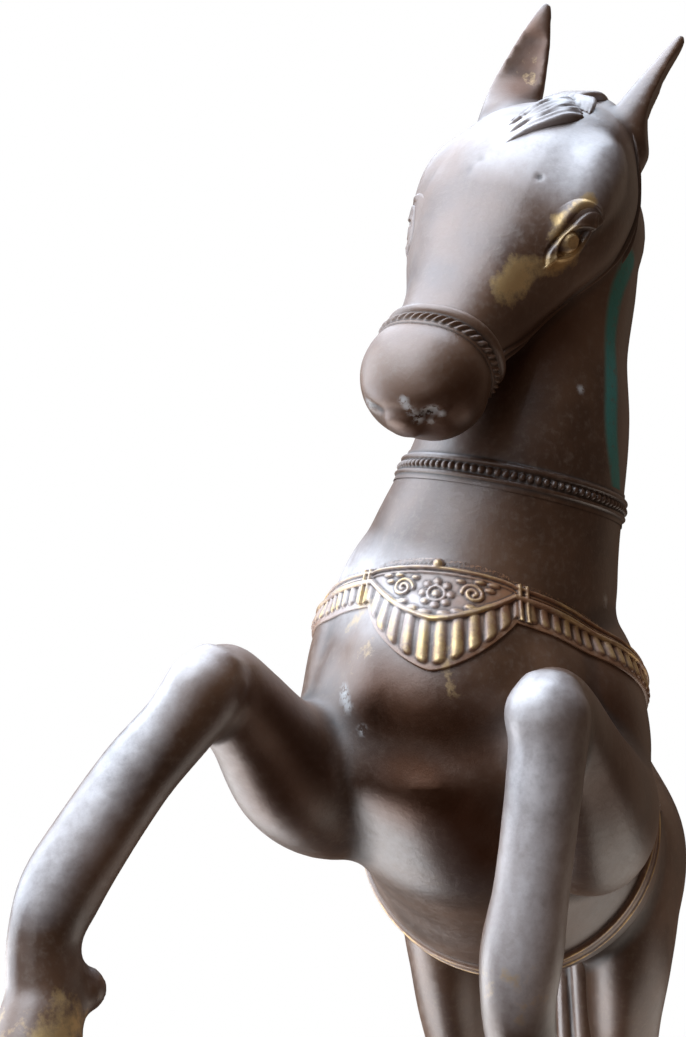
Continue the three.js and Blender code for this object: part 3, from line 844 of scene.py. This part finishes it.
# %% Flower and scrolls
def flower(x, y):
    """A domed flower with a ring and eight petals, and a scroll and leaves on either side."""
    reach = np.hypot(x, y)
    height = 1.6 + ridge(reach, 2.4, 2.4)
    height = np.maximum(height, 1.6 + ridge(reach - 4.2, 0.9, 1.5))
    for k in range(8):
        turn = k * math.pi / 4
        petal = np.hypot(x - 6.9 * math.cos(turn), y - 6.9 * math.sin(turn))
        height = np.maximum(height, 1.6 + ridge(petal, 2.1, 1.9))
    side = abs(x)
    turns = np.linspace(0, 3.4 * math.pi, 60)
    radius = np.linspace(5.4, 1.0, 60)
    curl = np.stack([17.5 - radius * np.cos(turns), 2.4 + radius * np.sin(turns)], axis=1)
    for u, v in curl:
        height = np.maximum(height, 1.6 + ridge(np.hypot(side - u, y - v), 1.15, 1.9))
    for u, v, wide, tall in LEAVES:
        leaf = np.hypot((side - u) / wide, (y - v) / tall)
        height = np.maximum(height, 1.6 + ridge(leaf, 1, 1.9))
    return height


LEAVES = [
    (4.5, -11.2, 3.4, 1.7),
    (10.5, -9.2, 3.2, 1.8),
    (16.2, -5.6, 3.0, 1.7),
    (25.5, 6.0, 2.6, 1.6),
    (27.5, 9.4, 3.0, 1.4),
    (11.5, 8.6, 2.4, 1.4),
    (20.8, 9.6, 2.8, 1.3),
]


# %% Collar
def make_collar(tree):
    angle = np.arange(-COLLAR_REACH, COLLAR_REACH + 0.01, 0.35)[:, None]
    share = plaque_share(angle)
    low, high = -17 - 36 * share, 6.5 + 5.5 * np.sqrt(share)
    lift = low + (high - low) * np.linspace(0, 1, 96)[None, :]
    turn = np.radians(angle + COLLAR_FRONT)
    around = np.clip(turn, -math.pi / 2, math.pi / 2)
    middle = 592 - 36 * (1 - np.cos(turn)) - 18 * np.sin(turn)
    origins = np.zeros(lift.shape + (3,))
    origins[..., 1] = (-120 + FLANK_REACH * abs(turn - around)) * SHARE
    origins[..., 2] = middle * SHARE + SOLES + lift * MM
    outs = np.zeros_like(origins)
    outs[..., 0] = np.sin(around)
    outs[..., 1] = -np.cos(around)
    height = collar_heights(angle, lift)
    height[:2] = height[-2:] = -1.6
    height[:, 0] = height[:, -1] = -1.6
    return relief("collar", tree, origins, outs, height)


straps += [make_girth(body_tree), make_collar(body_tree)]


# %% [markdown]
# ## Eyes
# Each eye is a relief too: brow fold, lids, and a ringed ball between dark corners.

# %% Eyes
EYE = (127.5, 10.5)
EYE_TILT = math.radians(5.6)


def eye_heights(a, b):
    """`a` runs along the eye toward the nose and `b` up toward the forehead, in figure units."""
    fade = np.clip(1.6 - 1.6 * (a / 24) ** 4, 0, 1)
    fold = (9.3 - 0.13 * a) * np.clip(1 - (a / 21.5) ** 6, 0, 1)
    upper = np.maximum(7.2 * (1 - ((a - 1.5) / 12.5) ** 2), -2)
    lower = -6.4 * (1 - ((a - 1.5) / 13) ** 2)
    brow = 1.9 * gauss(b - fold - 4.0 + 0.08 * a, 2.8) * np.clip(0.95 - (a + 6) / 22, 0, 1) * fade
    crease = -2.6 * gauss(b - fold, 1.3) * fade
    lid = 1.9 * np.clip((fold - b) / 1.4, 0, 1) * np.clip((b - upper) / 1.2 + 1, 0, 1) * fade
    rim = 0.7 * gauss(b - upper - 1.3, 1.3) * fade
    under = 1.5 * gauss(b - lower + 1.9, 2.0) * np.clip(1.5 - 1.5 * (a / 19) ** 2, 0, 1)
    opening = np.clip((upper - b) / 0.9, 0, 1) * np.clip((b - lower) / 0.9, 0, 1)
    ball = 6.4 * np.sqrt(np.clip(1 - ((a - 2) / 6.6) ** 2 - ((b - 0.5) / 9.6) ** 2, 0, None))
    iris = 0.7 * gauss(np.hypot(a - 2, (b - 0.3) * 0.8) - 3.4, 0.9)
    sunk = -3.6 + ball + iris
    return (brow + crease + lid + rim + under) * (1 - opening) + sunk * opening


def make_eye(tree, way):
    a, b = np.meshgrid(np.linspace(-31, 31, 150), np.linspace(-22, 27, 120), indexing="ij")
    down = EYE[0] + a * math.cos(EYE_TILT) - b * math.sin(EYE_TILT)
    out = EYE[1] + a * math.sin(EYE_TILT) + b * math.cos(EYE_TILT)
    rise = np.arcsin(np.clip((out + 8) / 64, -1, 1))[..., None]
    origins = on_head(0, 0, -8) + SHARE * down[..., None] * NOSEWARD
    outs = way * np.cos(rise) * HEAD_LEFT + np.sin(rise) * FACE
    edge = np.clip(np.hypot(a / 31, (b - 2.5) / 24), 0, 1)
    share = 1.0 if way > 0 else 0.6
    height = eye_heights(a, b) * share * SHARE / MM - 0.9 * np.clip((edge - 0.8) / 0.2, 0, 1)
    height = np.where(edge >= 1, -1.2, height)
    name = "eye_left" if way > 0 else "eye_right"
    return relief(name, tree, origins, outs, height)


def press_sockets(mesh):
    for way in (-1, 1):
        press(mesh, (EYE[0], way * 56, EYE[1]), (13, 20, 6), 5)


eyes = [make_eye(head_tree, 1), make_eye(head_tree, -1)]
press_sockets(head.data)


# %% [markdown]
# ## Hair: forelock, mane and tail

# %% Locks
def lock(shells, points, width, thick, side, sides=14):
    count = len(points)
    stations = []
    for i, point in enumerate(points):
        size = math.cos(i / (count - 1) * 1.38) * (0.72 + 0.28 * math.sin(min(i, 1) * math.pi / 2))
        stations.append((point, width * size, thick * size))
    loft(shells, stations, side=side, sides=sides, dome=0.7)


def on_forehead(tree, down, left, lift):
    """A point `lift` above the head's skin, in line with a place on the forehead."""
    out = unit(62 * FACE + left * HEAD_LEFT)
    hit = tree.ray_cast(Vector(on_head(down, 0, -20)), Vector(out))[0]
    return np.array(hit) + out * lift * SHARE


def make_forelock(tree):
    shells = Shells()
    for i in range(9):
        t, wave = i / 8, 1.6 * math.sin(2.3 * i)
        places = [
            (2 + 34 * t, 16 + 20 * t, -1.5),
            (14 + 32 * t, 10 + 18 * t + wave, 1.8),
            (28 + 28 * t, 4 + 14 * t - wave, 1.8 + i % 2),
            (44 + 26 * t, -4 + 11 * t + wave, 0.8),
            (57 + 24 * t + 4 * (i % 2), -11 + 7 * t, -1.4),
        ]
        points = [on_forehead(tree, *place) for place in places]
        lock(shells, points, 3.1, 4.2, HEAD_LEFT)
    for j in range(4):
        places = [(-12 + 2 * j, 12 + 5 * j, 0), (2, 19 + 4.5 * j, 3), (14, 25 + 4 * j, 3.2)]
        places.append((25 + j, 28 + 4 * j, 0))
        points = [on_forehead(tree, *place) for place in places]
        lock(shells, points, 4.4, 4.6, HEAD_LEFT)
    for i in range(5):
        left = -12 + 7 * i
        points = [
            on_forehead(tree, 6, left, -1),
            on_forehead(tree, -12, left * 0.9, 2),
            on_head(-28, left * 0.8, 4),
            on_head(-38, left * 0.7, -12),
            on_head(-41, left * 0.6, -30),
        ]
        lock(shells, points, 5, 6, HEAD_LEFT)
    forelock = remeshed(shells, "forelock", 0.9 * MM)
    relax(forelock.data, 8)
    return smooth_shaded(forelock)


# %% Mane
CREST = [
    (88, -138, 912),
    (80, -112, 880),
    (70, -92, 838),
    (62, -82, 790),
    (54, -77, 742),
    (45, -72, 694),
    (33, -64, 648),
    (20, -50, 604),
    (10, -26, 566),
]


def make_mane():
    """A roached crest whose combed locks lie down on both sides."""
    shells = Shells()
    crest = smooth_curve([at(*p) for p in CREST], 12)
    along = unit(np.gradient(crest, axis=0))
    core = [(p + (0, 2 * SHARE, 0), 9, 12) for p in crest[::6]]
    loft(shells, core, sides=24)
    places = [(12, 0, 0), (14, 6, 8), (9, 11, 20), (2, 13, 34), (-5, 12, 46)]
    locks = 30
    for i in range(locks):
        for way, shift in ((1, 0.2), (-1, 0.7)):
            k = min(round((i + shift) / locks * len(crest)), len(crest) - 1)
            fall = along[k]
            out = unit(np.array([0, 1.0, 0]) - fall * fall[1])
            curl = 1.5 * math.sin(2.1 * i + way)
            points = []
            for rise, aside, down in places:
                offset = rise * out + way * aside * np.array([1.0, 0, 0]) + (down + curl) * fall
                points.append(crest[k] + offset * SHARE)
            lock(shells, points, 4.6, 5.4, (1, 0, 0))
    mane = remeshed(shells, "mane", 1.35 * MM)
    relax(mane.data, 4)
    return smooth_shaded(mane)


# %% Tail
TAIL = [
    (208, 444, 16),
    (256, 452, 21),
    (294, 396, 28),
    (308, 300, 31),
    (300, 200, 25),
    (288, 130, 13),
    (284, 104, 3),
]


def make_tail():
    shells = Shells()
    core = [(at(3 * math.sin(i), y, z), s * 0.86, s * 0.74) for i, (y, z, s) in enumerate(TAIL)]
    loft(shells, core, sides=40, dome=0.8)
    spine = smooth_curve([c[0] for c in core], 3)
    girths = smooth_curve([(c[1], c[2], 0) for c in core], 3)
    strands = 11
    for k in range(strands):
        stations = []
        for i, (point, girth) in enumerate(zip(spine, girths)):
            turn = 2 * math.pi * k / strands + 0.055 * i * (1 + 0.3 * math.sin(k))
            fall = unit(np.gradient(spine, axis=0))[i]
            deep = np.cross((1, 0, 0), fall)
            off = math.cos(turn) * girth[0] * np.array([1, 0, 0]) + math.sin(turn) * girth[1] * deep
            size = 0.34 * girth[0] + 1.2
            stations.append((point + off * SHARE, size, size))
        loft(shells, stations[1 : len(spine) - k % 3], sides=14, dome=0.9, steps=3)
    tail = remeshed(shells, "tail", 1.7 * MM)
    relax(tail.data, 6)
    return smooth_shaded(tail)


hair = [make_forelock(head_tree), make_mane(), make_tail()]


# %% [markdown]
# ## Neck band, saddle cloth and saddle

# %% Covers over the back
def cover(name, tree, front, rear, spread, height, rows=130, columns=150):
    along = np.linspace(-0.03, 1.03, rows)[:, None]
    across = np.linspace(-1.03, 1.03, columns)[None, :]
    turn = np.radians(spread * across) + 0 * along
    outs = np.stack([np.sin(turn), 0 * turn, np.cos(turn)], axis=-1)
    origins = np.zeros_like(outs)
    origins[..., 0] = 2 * SHARE
    origins[..., 1] = (front + (rear - front) * along) * SHARE
    origins[..., 2] = 445 * SHARE + SOLES
    inside = (abs(across) <= 1) & (along >= 0) & (along <= 1)
    return relief(name, tree, origins, outs, np.where(inside, height(along, across), -1.2))


def cloth_height(along, across):
    edge = np.minimum(np.minimum(along, 1 - along) * 125, (1 - abs(across)) * 135)
    fringe = 0.5 + 0.5 * np.cos(2 * math.pi * np.where(edge > 8, 0, along * 26 + 0 * across))
    height = 2.2 + ridge(edge - 2, 2, 1.4) + ridge(edge - 9, 1.3, 1.2)
    quilt = np.cos(22 * across + 18 * along) * np.cos(22 * across - 18 * along)
    return height + np.where(edge > 12, 0.5 * quilt, 0) - 0.6 * fringe * (edge < 1)


def saddle_height(along, across):
    pommel = gauss(along - 0.16, 0.13)
    cantle = gauss(along - 0.84, 0.13)
    crown = 1 - across**2
    height = 3 + (3 + crown * (5 + 20 * pommel + 24 * cantle)) * SHARE / MM
    edge = np.minimum(np.minimum(along, 1 - along) * 103, (1 - abs(across)) * 84)
    round_off = np.sqrt(np.clip(edge / 7, 0, 1))
    return 2.4 + (height - 2.4) * round_off + ridge(edge - 9, 1.2, 0.9)


def bare_back():
    """The barrel alone, to lay the covers on."""
    shells = Shells()
    loft(shells, TRUNK, sides=96, steps=10)
    for stations in SHOULDERS:
        loft(shells, stations, sides=48, steps=8)
    return remeshed(shells, "barrel", 4 * MM)


barrel = bare_back()
relax(barrel.data, 30)
barrel_tree = skin_tree(barrel)
covers = [
    cover("saddle_cloth", barrel_tree, -42, 104, 84, cloth_height),
    cover("saddle", barrel_tree, -36, 84, 52, saddle_height),
]
bpy.data.objects.remove(barrel)


# %% Neck band
def make_band_skin():
    """A whole neck to lay the band on, since the two skins are cut there."""
    shells = Shells()
    loft(shells, NECK, sides=96, steps=12)
    return remeshed(shells, "neck", 2.7 * MM)


neck = make_band_skin()
relax(neck.data, 16)
straps.append(make_neck_band(skin_tree(neck)))
bpy.data.objects.remove(neck)


# %% [markdown]
# ## Plinth

# %% Plinth
def make_plinth(length=0.48, width=0.25, thick=0.034, corner=0.045, step=0.01):
    rows = [
        (0, 0),
        (0, 0.27),
        (0.05, 0.3),
        (0.12, 0.33),
        (0.45, 0.37),
        (0.75, 0.42),
        (0.88, 0.5),
        (0.9, 0.6),
        (0.84, 0.7),
        (0.6, 0.78),
        (0.5, 0.84),
        (0.52, 0.9),
        (0.68, 0.96),
        (1, 1),
    ]
    rings = []
    for inset, z in rows:
        radius = corner - inset * step
        ring = []
        for i in range(4):
            x = (1 if i in (0, 3) else -1) * (width / 2 - corner)
            y = (1 if i < 2 else -1) * (length / 2 - corner)
            for turn in np.linspace(i, i + 1, 25) * math.pi / 2:
                ring.append((x + radius * math.cos(turn), y + radius * math.sin(turn), z * thick))
        rings.append(np.array(ring))
    shells = Shells()
    shells.add_rings(rings, rings[0].mean(0), rings[-1].mean(0))
    piece = link(shells.mesh("plinth_cast"), "plinth_cast")
    bevel = piece.modifiers.new("bevel", "BEVEL")
    bevel.width = 0.7 * MM
    bevel.segments = 2
    bevel.limit_method = "ANGLE"
    return smooth_shaded(piece)


plinth = make_plinth()


# %% [markdown]
# ## Bronze
# One patinated bronze for everything. Attributes on the meshes say where the brass is rubbed through,
# where the creases are darkened, where dust with painted highlight lies pale, where painted shade
# lies dark, where a teal strip runs down the neck and where white corrosion has grown.

# %% Patina, painted highlight and painted shade
RUBBED = [
    ([(90, -260, 812), (101, -259, 820), (110, -256, 823)], 6.5, 0.85),
    ([(96, -259, 798)], 15, 0.75),
    ([(97, -250, 789), (87, -255, 786), (78, -263, 782), (68, -270, 776)], 11, 0.85),
    ([(68, -270, 776), (59, -276, 767)], 15, 0.95),
    ([(66, -183, 990), (61, -184, 964), (56, -184, 943)], 14, 0.3),
    ([(62, -318, 352)], 22, 0.5),
    ([(-196, -372, 320), (-178, -372, 322)], 32, 0.8),
    ([(-54, -240, 575)], 22, 0.6),
    ([(20, -272, 530)], 16, 0.6),
    ([(-36, -250, 540)], 16, 0.5),
]
DEPOSITS = [
    ([(3, -309, 689), (9, -300, 679)], 3.4, 1),
    ([(14, -302, 685), (18, -303, 684)], 4.2, 1),
    ([(16, -298, 676)], 3, 1),
    ([(24, -300, 681)], 2.6, 0.8),
    ([(-22, -294, 694)], 4, 0.8),
    ([(-54, -248, 522), (-50, -250, 512)], 4.2, 1),
    ([(-40, -256, 497)], 3, 0.8),
    ([(93, -214, 714)], 3, 1),
    ([(98, -169, 584)], 4, 0.9),
    ([(38, 77, 342)], 3, 0.8),
    ([(-20, -262, 618)], 4, 0.5),
]
# Pale strokes: dust with painted highlight on the forelegs, and painted highlight on the forehead, the
# poll and the front of the collar.
DUST_AND_HIGHLIGHT = [
    ([(85, -338, 505), (84, -336, 451), (78, -328, 405), (73, -325, 350)], 26, 1.0),
    ([(-112, -357, 530), (-131, -365, 508), (-162, -374, 455), (-192, -381, 403)], 20, 0.9),
    ([(104, -253, 850), (80, -250, 868), (60, -246, 876)], 32, 0.75),
    ([(60, -200, 905), (86, -214, 916)], 26, 0.7),
    ([(-69, -189, 603), (-50, -235, 590), (-5, -258, 580)], 32, 0.85),
]
# Painted shade: dark brown with a dark reflection, between the forelegs and down the chest, in the
# armpits, on the throat, under the muzzle, in the near ear and in the nostril.
PAINTED_SHADE = [
    ([(-25, -260, 512), (10, -263, 501), (28, -255, 485)], 34, 1.0),
    ([(-8, -258, 470), (20, -250, 450), (34, -225, 425)], 40, 1.0),
    ([(-79, -315, 499), (-80, -275, 465)], 34, 0.8),
    ([(97, -199, 510), (117, -258, 476)], 40, 0.8),
    ([(79, -222, 753), (60, -245, 735)], 30, 0.8),
    ([(31, -233, 694)], 26, 0.4),
    ([(65, -183, 987), (53, -184, 943)], 20, 0.9),
    ([(10, -300, 680), (36, -298, 690)], 30, 0.8),
    ([(14, -302, 685)], 5, 1.0),
]
PAINTED = {"rubbed": RUBBED, "deposit": DEPOSITS, "dust_and_highlight": DUST_AND_HIGHLIGHT, "painted_shade": PAINTED_SHADE}


def paint(piece, rounds=6):
    mesh = piece.data
    points = points_of(mesh)
    hollow = hollow_of(mesh, rounds)
    store(mesh, "hollow", np.clip(hollow / 0.35, 0, 1))
    store(mesh, "ridge", np.clip(-hollow / 0.35, 0, 1))
    for name, spots in PAINTED.items():
        amount = np.zeros(len(points))
        for path, radius, most in spots:
            amount = np.maximum(amount, most * soft_stroke(points, path, radius))
        store(mesh, name, amount)


# %% Bronze material
def bronze(name, gilt=0.0, dark=1.0):
    material = bpy.data.materials.new(name)
    material.use_nodes = True
    nodes, links = material.node_tree.nodes, material.node_tree.links
    shader = nodes["Principled BSDF"]
    place = nodes.new("ShaderNodeTexCoord").outputs["Object"]

    def noise(scale, detail=4.0, rough=0.55):
        node = nodes.new("ShaderNodeTexNoise")
        node.inputs["Scale"].default_value = scale
        node.inputs["Detail"].default_value = detail
        node.inputs["Roughness"].default_value = rough
        links.new(place, node.inputs["Vector"])
        return node.outputs["Fac"]

    def spread(value, low, high, to_low=0.0, to_high=1.0):
        node = nodes.new("ShaderNodeMapRange")
        node.inputs["From Min"].default_value = low
        node.inputs["From Max"].default_value = high
        node.inputs["To Min"].default_value = to_low
        node.inputs["To Max"].default_value = to_high
        links.new(value, node.inputs["Value"])
        return node.outputs["Result"]

    def math_node(kind, a, b):
        node = nodes.new("ShaderNodeMath")
        node.operation = kind
        node.use_clamp = kind != "ADD"
        for socket, value in zip(node.inputs, (a, b)):
            if isinstance(value, (int, float)):
                socket.default_value = value
            else:
                links.new(value, socket)
        return node.outputs[0]

    def attribute(name):
        node = nodes.new("ShaderNodeAttribute")
        node.attribute_name = name
        return node.outputs["Fac"]

    def blend(share, a, b):
        node = nodes.new("ShaderNodeMix")
        node.data_type = "RGBA"
        links.new(share, node.inputs["Factor"])
        for socket, value in zip(node.inputs[6:8], (a, b)):
            if isinstance(value, tuple):
                socket.default_value = (*value, 1)
            else:
                links.new(value, socket)
        return node.outputs[2]

    cloud, speck, grain = noise(13, 6), noise(240, 3, 0.7), noise(900, 2, 0.6)
    blotch = noise(55, 6, 0.7)
    deep = (0.05 * dark, 0.018 * dark, 0.006 * dark)
    warm = (0.16 * dark, 0.078 * dark, 0.038 * dark)
    colour = blend(spread(cloud, 0.36, 0.66), deep, warm)
    fleck = spread(speck, 0.5, 0.75, 0, 0.35)
    colour = blend(fleck, colour, (0.24 * dark, 0.18 * dark, 0.135 * dark))
    # Dust with painted highlight: a pale grey laid on where its strokes say.
    dust_and_highlight = math_node("MULTIPLY", attribute("dust_and_highlight"), spread(blotch, 0.3, 0.6, 0.5, 0.9))
    dust_and_highlight = math_node("MULTIPLY", dust_and_highlight, spread(speck, 0.35, 0.5, 0.88, 1))
    colour = blend(dust_and_highlight, colour, (0.66, 0.62, 0.62))
    # Painted shade: dark brown where its strokes say.
    painted_shade = math_node("MULTIPLY", attribute("painted_shade"), spread(cloud, 0.3, 0.6, 1, 0.8))
    colour = blend(painted_shade, colour, (0.085, 0.034, 0.016))
    # Darker in the creases and hollows of the skin, and rougher there.
    crease_dark = math_node("MULTIPLY", attribute("hollow"), spread(speck, 0.2, 0.6, 0.9, 0.65))
    colour = blend(crease_dark, colour, (0.014, 0.008, 0.005))
    raised = math_node("MULTIPLY", spread(attribute("height"), 1.5, 3.2), gilt)
    edges = math_node("ADD", math_node("MULTIPLY", attribute("ridge"), 0.09), raised)
    patchy = spread(blotch, 0.36, 0.64, 0, 0.6)
    rubbed = math_node("ADD", math_node("MAXIMUM", attribute("rubbed"), edges), patchy)
    brass = spread(rubbed, 0.68, 1.15)
    colour = blend(brass, colour, (0.64, 0.44, 0.2))
    # A teal strip along the back of the neck.
    green = math_node("MULTIPLY", attribute("teal_strip"), spread(noise(180, 4, 0.7), 0.2, 0.42))
    colour = blend(green, colour, (0.02, 0.26, 0.235))
    white = math_node("MULTIPLY", attribute("deposit"), spread(noise(300, 3, 0.6), 0.42, 0.52))
    colour = blend(white, colour, (0.52, 0.51, 0.5))
    links.new(colour, shader.inputs["Base Color"])
    matt = math_node("ADD", green, white)
    # The painted shade is made metallic, so that its reflection is dark brown too.
    metal = math_node("MAXIMUM", spread(brass, 0, 1, 0.1, 0.7), math_node("MULTIPLY", painted_shade, 0.95))
    metal = math_node("SUBTRACT", metal, matt)
    links.new(metal, shader.inputs["Metallic"])
    shader.inputs["IOR"].default_value = 1.95
    rough = math_node("ADD", spread(cloud, 0.3, 0.7, 0.38, 0.48), spread(speck, 0.4, 0.7, -0.03, 0.05))
    rough = math_node("ADD", rough, math_node("MULTIPLY", math_node("ADD", matt, crease_dark), 0.3))
    links.new(rough, shader.inputs["Roughness"])
    bump = nodes.new("ShaderNodeBump")
    bump.inputs["Strength"].default_value = 0.4
    bump.inputs["Distance"].default_value = 0.0004
    rise = math_node("ADD", spread(speck, 0.35, 0.8, 0, 0.4), spread(grain, 0.3, 0.8, 0, 0.1))
    links.new(rise, bump.inputs["Height"])
    links.new(bump.outputs["Normal"], shader.inputs["Normal"])
    return material


# %% Give the pieces their bronze
plain = bronze("bronze")
# The girth's base colours are painted 1.9 times lighter, standing in for light from below, and the
# collar's 2.4 times lighter as a painted highlight. On both the raised carving shows rubbed brass.
worn_with_painted_light = bronze("worn_bronze_with_painted_light", gilt=0.7, dark=1.9)
gilded_with_painted_highlight = bronze("rubbed_bronze_with_painted_highlight", gilt=0.52, dark=2.4)
finishes = {"collar": gilded_with_painted_highlight, "girth": worn_with_painted_light}
for piece in [body, head, *eyes, *hair, *covers, *straps]:
    paint(piece, 24 if piece in eyes else 6)
    piece.data.materials.clear()
    piece.data.materials.append(finishes.get(piece.name, plain))
    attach(piece, "root")
    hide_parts("horse")


# A teal strip down the back of the neck, beside the mane.
def paint_teal_strip(piece):
    points = points_of(piece.data)
    line = [at(123, -176, 812), at(116, -188, 785), at(112, -190, 740), at(108, -190, 690)]
    spine = smooth_curve([*line, at(108, -174, 650)], 20)
    away = np.min(np.linalg.norm(points[:, None] - spine[None], axis=2), axis=1) / SHARE
    store(piece.data, "teal_strip", np.clip(2.2 - away / 4.2, 0, 1))


paint_teal_strip(head)
paint(plinth, 2)
plinth.data.materials.append(bronze("plinth_bronze", dark=0.75))
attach(plinth, "root")
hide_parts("plinth")


# %% [markdown]
# ## Floor and light

# %% Floor
def make_floor():
    shape = bmesh.new()
    bmesh.ops.create_circle(shape, cap_ends=True, segments=96, radius=1.6)
    mesh = bpy.data.meshes.new("floor")
    shape.to_mesh(mesh)
    shape.free()
    floor = link(mesh, "floor")
    floor.location.z = -0.0005
    material = bpy.data.materials.new("floor")
    material.use_nodes = True
    material.node_tree.nodes["Principled BSDF"].inputs["Base Color"].default_value = (0.6, 0.6, 0.61, 1)
    material.node_tree.nodes["Principled BSDF"].inputs["Roughness"].default_value = 0.8
    mesh.materials.append(material)
    floor.visible_diffuse = floor.visible_glossy = False


make_floor()


# %% Light
VIEW_RIGHT = unit((0.95106, 0.30902, 0))
VIEW_BACK = unit((0.30226, -0.93027, -0.20791))


def softbox(name, left, up, near, size, power, colour):
    aim = Vector(at(0, -150, 560))
    place = aim + Vector(-left * VIEW_RIGHT + near * VIEW_BACK) + Vector((0, 0, up))
    data = bpy.data.lights.new(name, "AREA")
    data.shape = "RECTANGLE"
    data.size, data.size_y = size
    data.energy = power
    data.color = colour
    lamp = bpy.data.objects.new(name, data)
    lamp.location = place
    lamp.rotation_euler = (aim - place).to_track_quat("-Z", "Y").to_euler()
    lamp.visible_camera = False
    bpy.context.scene.collection.objects.link(lamp)


softbox("top", 0.2, 1.25, -0.1, (1.5, 1.4), 37, (0.72, 0.84, 1.0))
softbox("key", 0.75, 0.95, 0.75, (1.0, 1.0), 17, (0.76, 0.87, 1.0))
softbox("back", 0.2, 0.8, -1.0, (1.5, 0.9), 5, (0.72, 0.84, 1.0))
softbox("left", 1.25, 0.25, -0.3, (1.1, 1.6), 27, (0.74, 0.86, 1.0))
softbox("front", 0.95, 0.15, 1.2, (0.9, 1.2), 2.2, (0.94, 0.96, 1.0))
softbox("low", 0.45, -0.5, -0.25, (0.5, 0.7), 5, (0.95, 0.97, 1.0))
softbox("low_right", -0.35, -0.5, -0.2, (0.5, 0.5), 0.8, (1.0, 0.93, 0.85))
softbox("rim", -1.3, 0.3, -0.9, (0.9, 1.6), 0.6, (1.0, 0.8, 0.62))


def make_world():
    world = bpy.data.worlds.new("world")
    world.use_nodes = True
    nodes, links = world.node_tree.nodes, world.node_tree.links
    nodes.clear()
    seen, around = nodes.new("ShaderNodeBackground"), nodes.new("ShaderNodeBackground")
    seen.inputs["Color"].default_value = (1, 1, 1, 1)
    around.inputs["Color"].default_value = (0.75, 0.5, 0.36, 1)
    around.inputs["Strength"].default_value = 0.13
    path, mix = nodes.new("ShaderNodeLightPath"), nodes.new("ShaderNodeMixShader")
    out = nodes.new("ShaderNodeOutputWorld")
    links.new(path.outputs["Is Camera Ray"], mix.inputs["Fac"])
    links.new(around.outputs[0], mix.inputs[1])
    links.new(seen.outputs[0], mix.inputs[2])
    links.new(mix.outputs[0], out.inputs["Surface"])
    bpy.context.scene.world = world


make_world()
bpy.context.scene.view_settings.view_transform = "Standard"
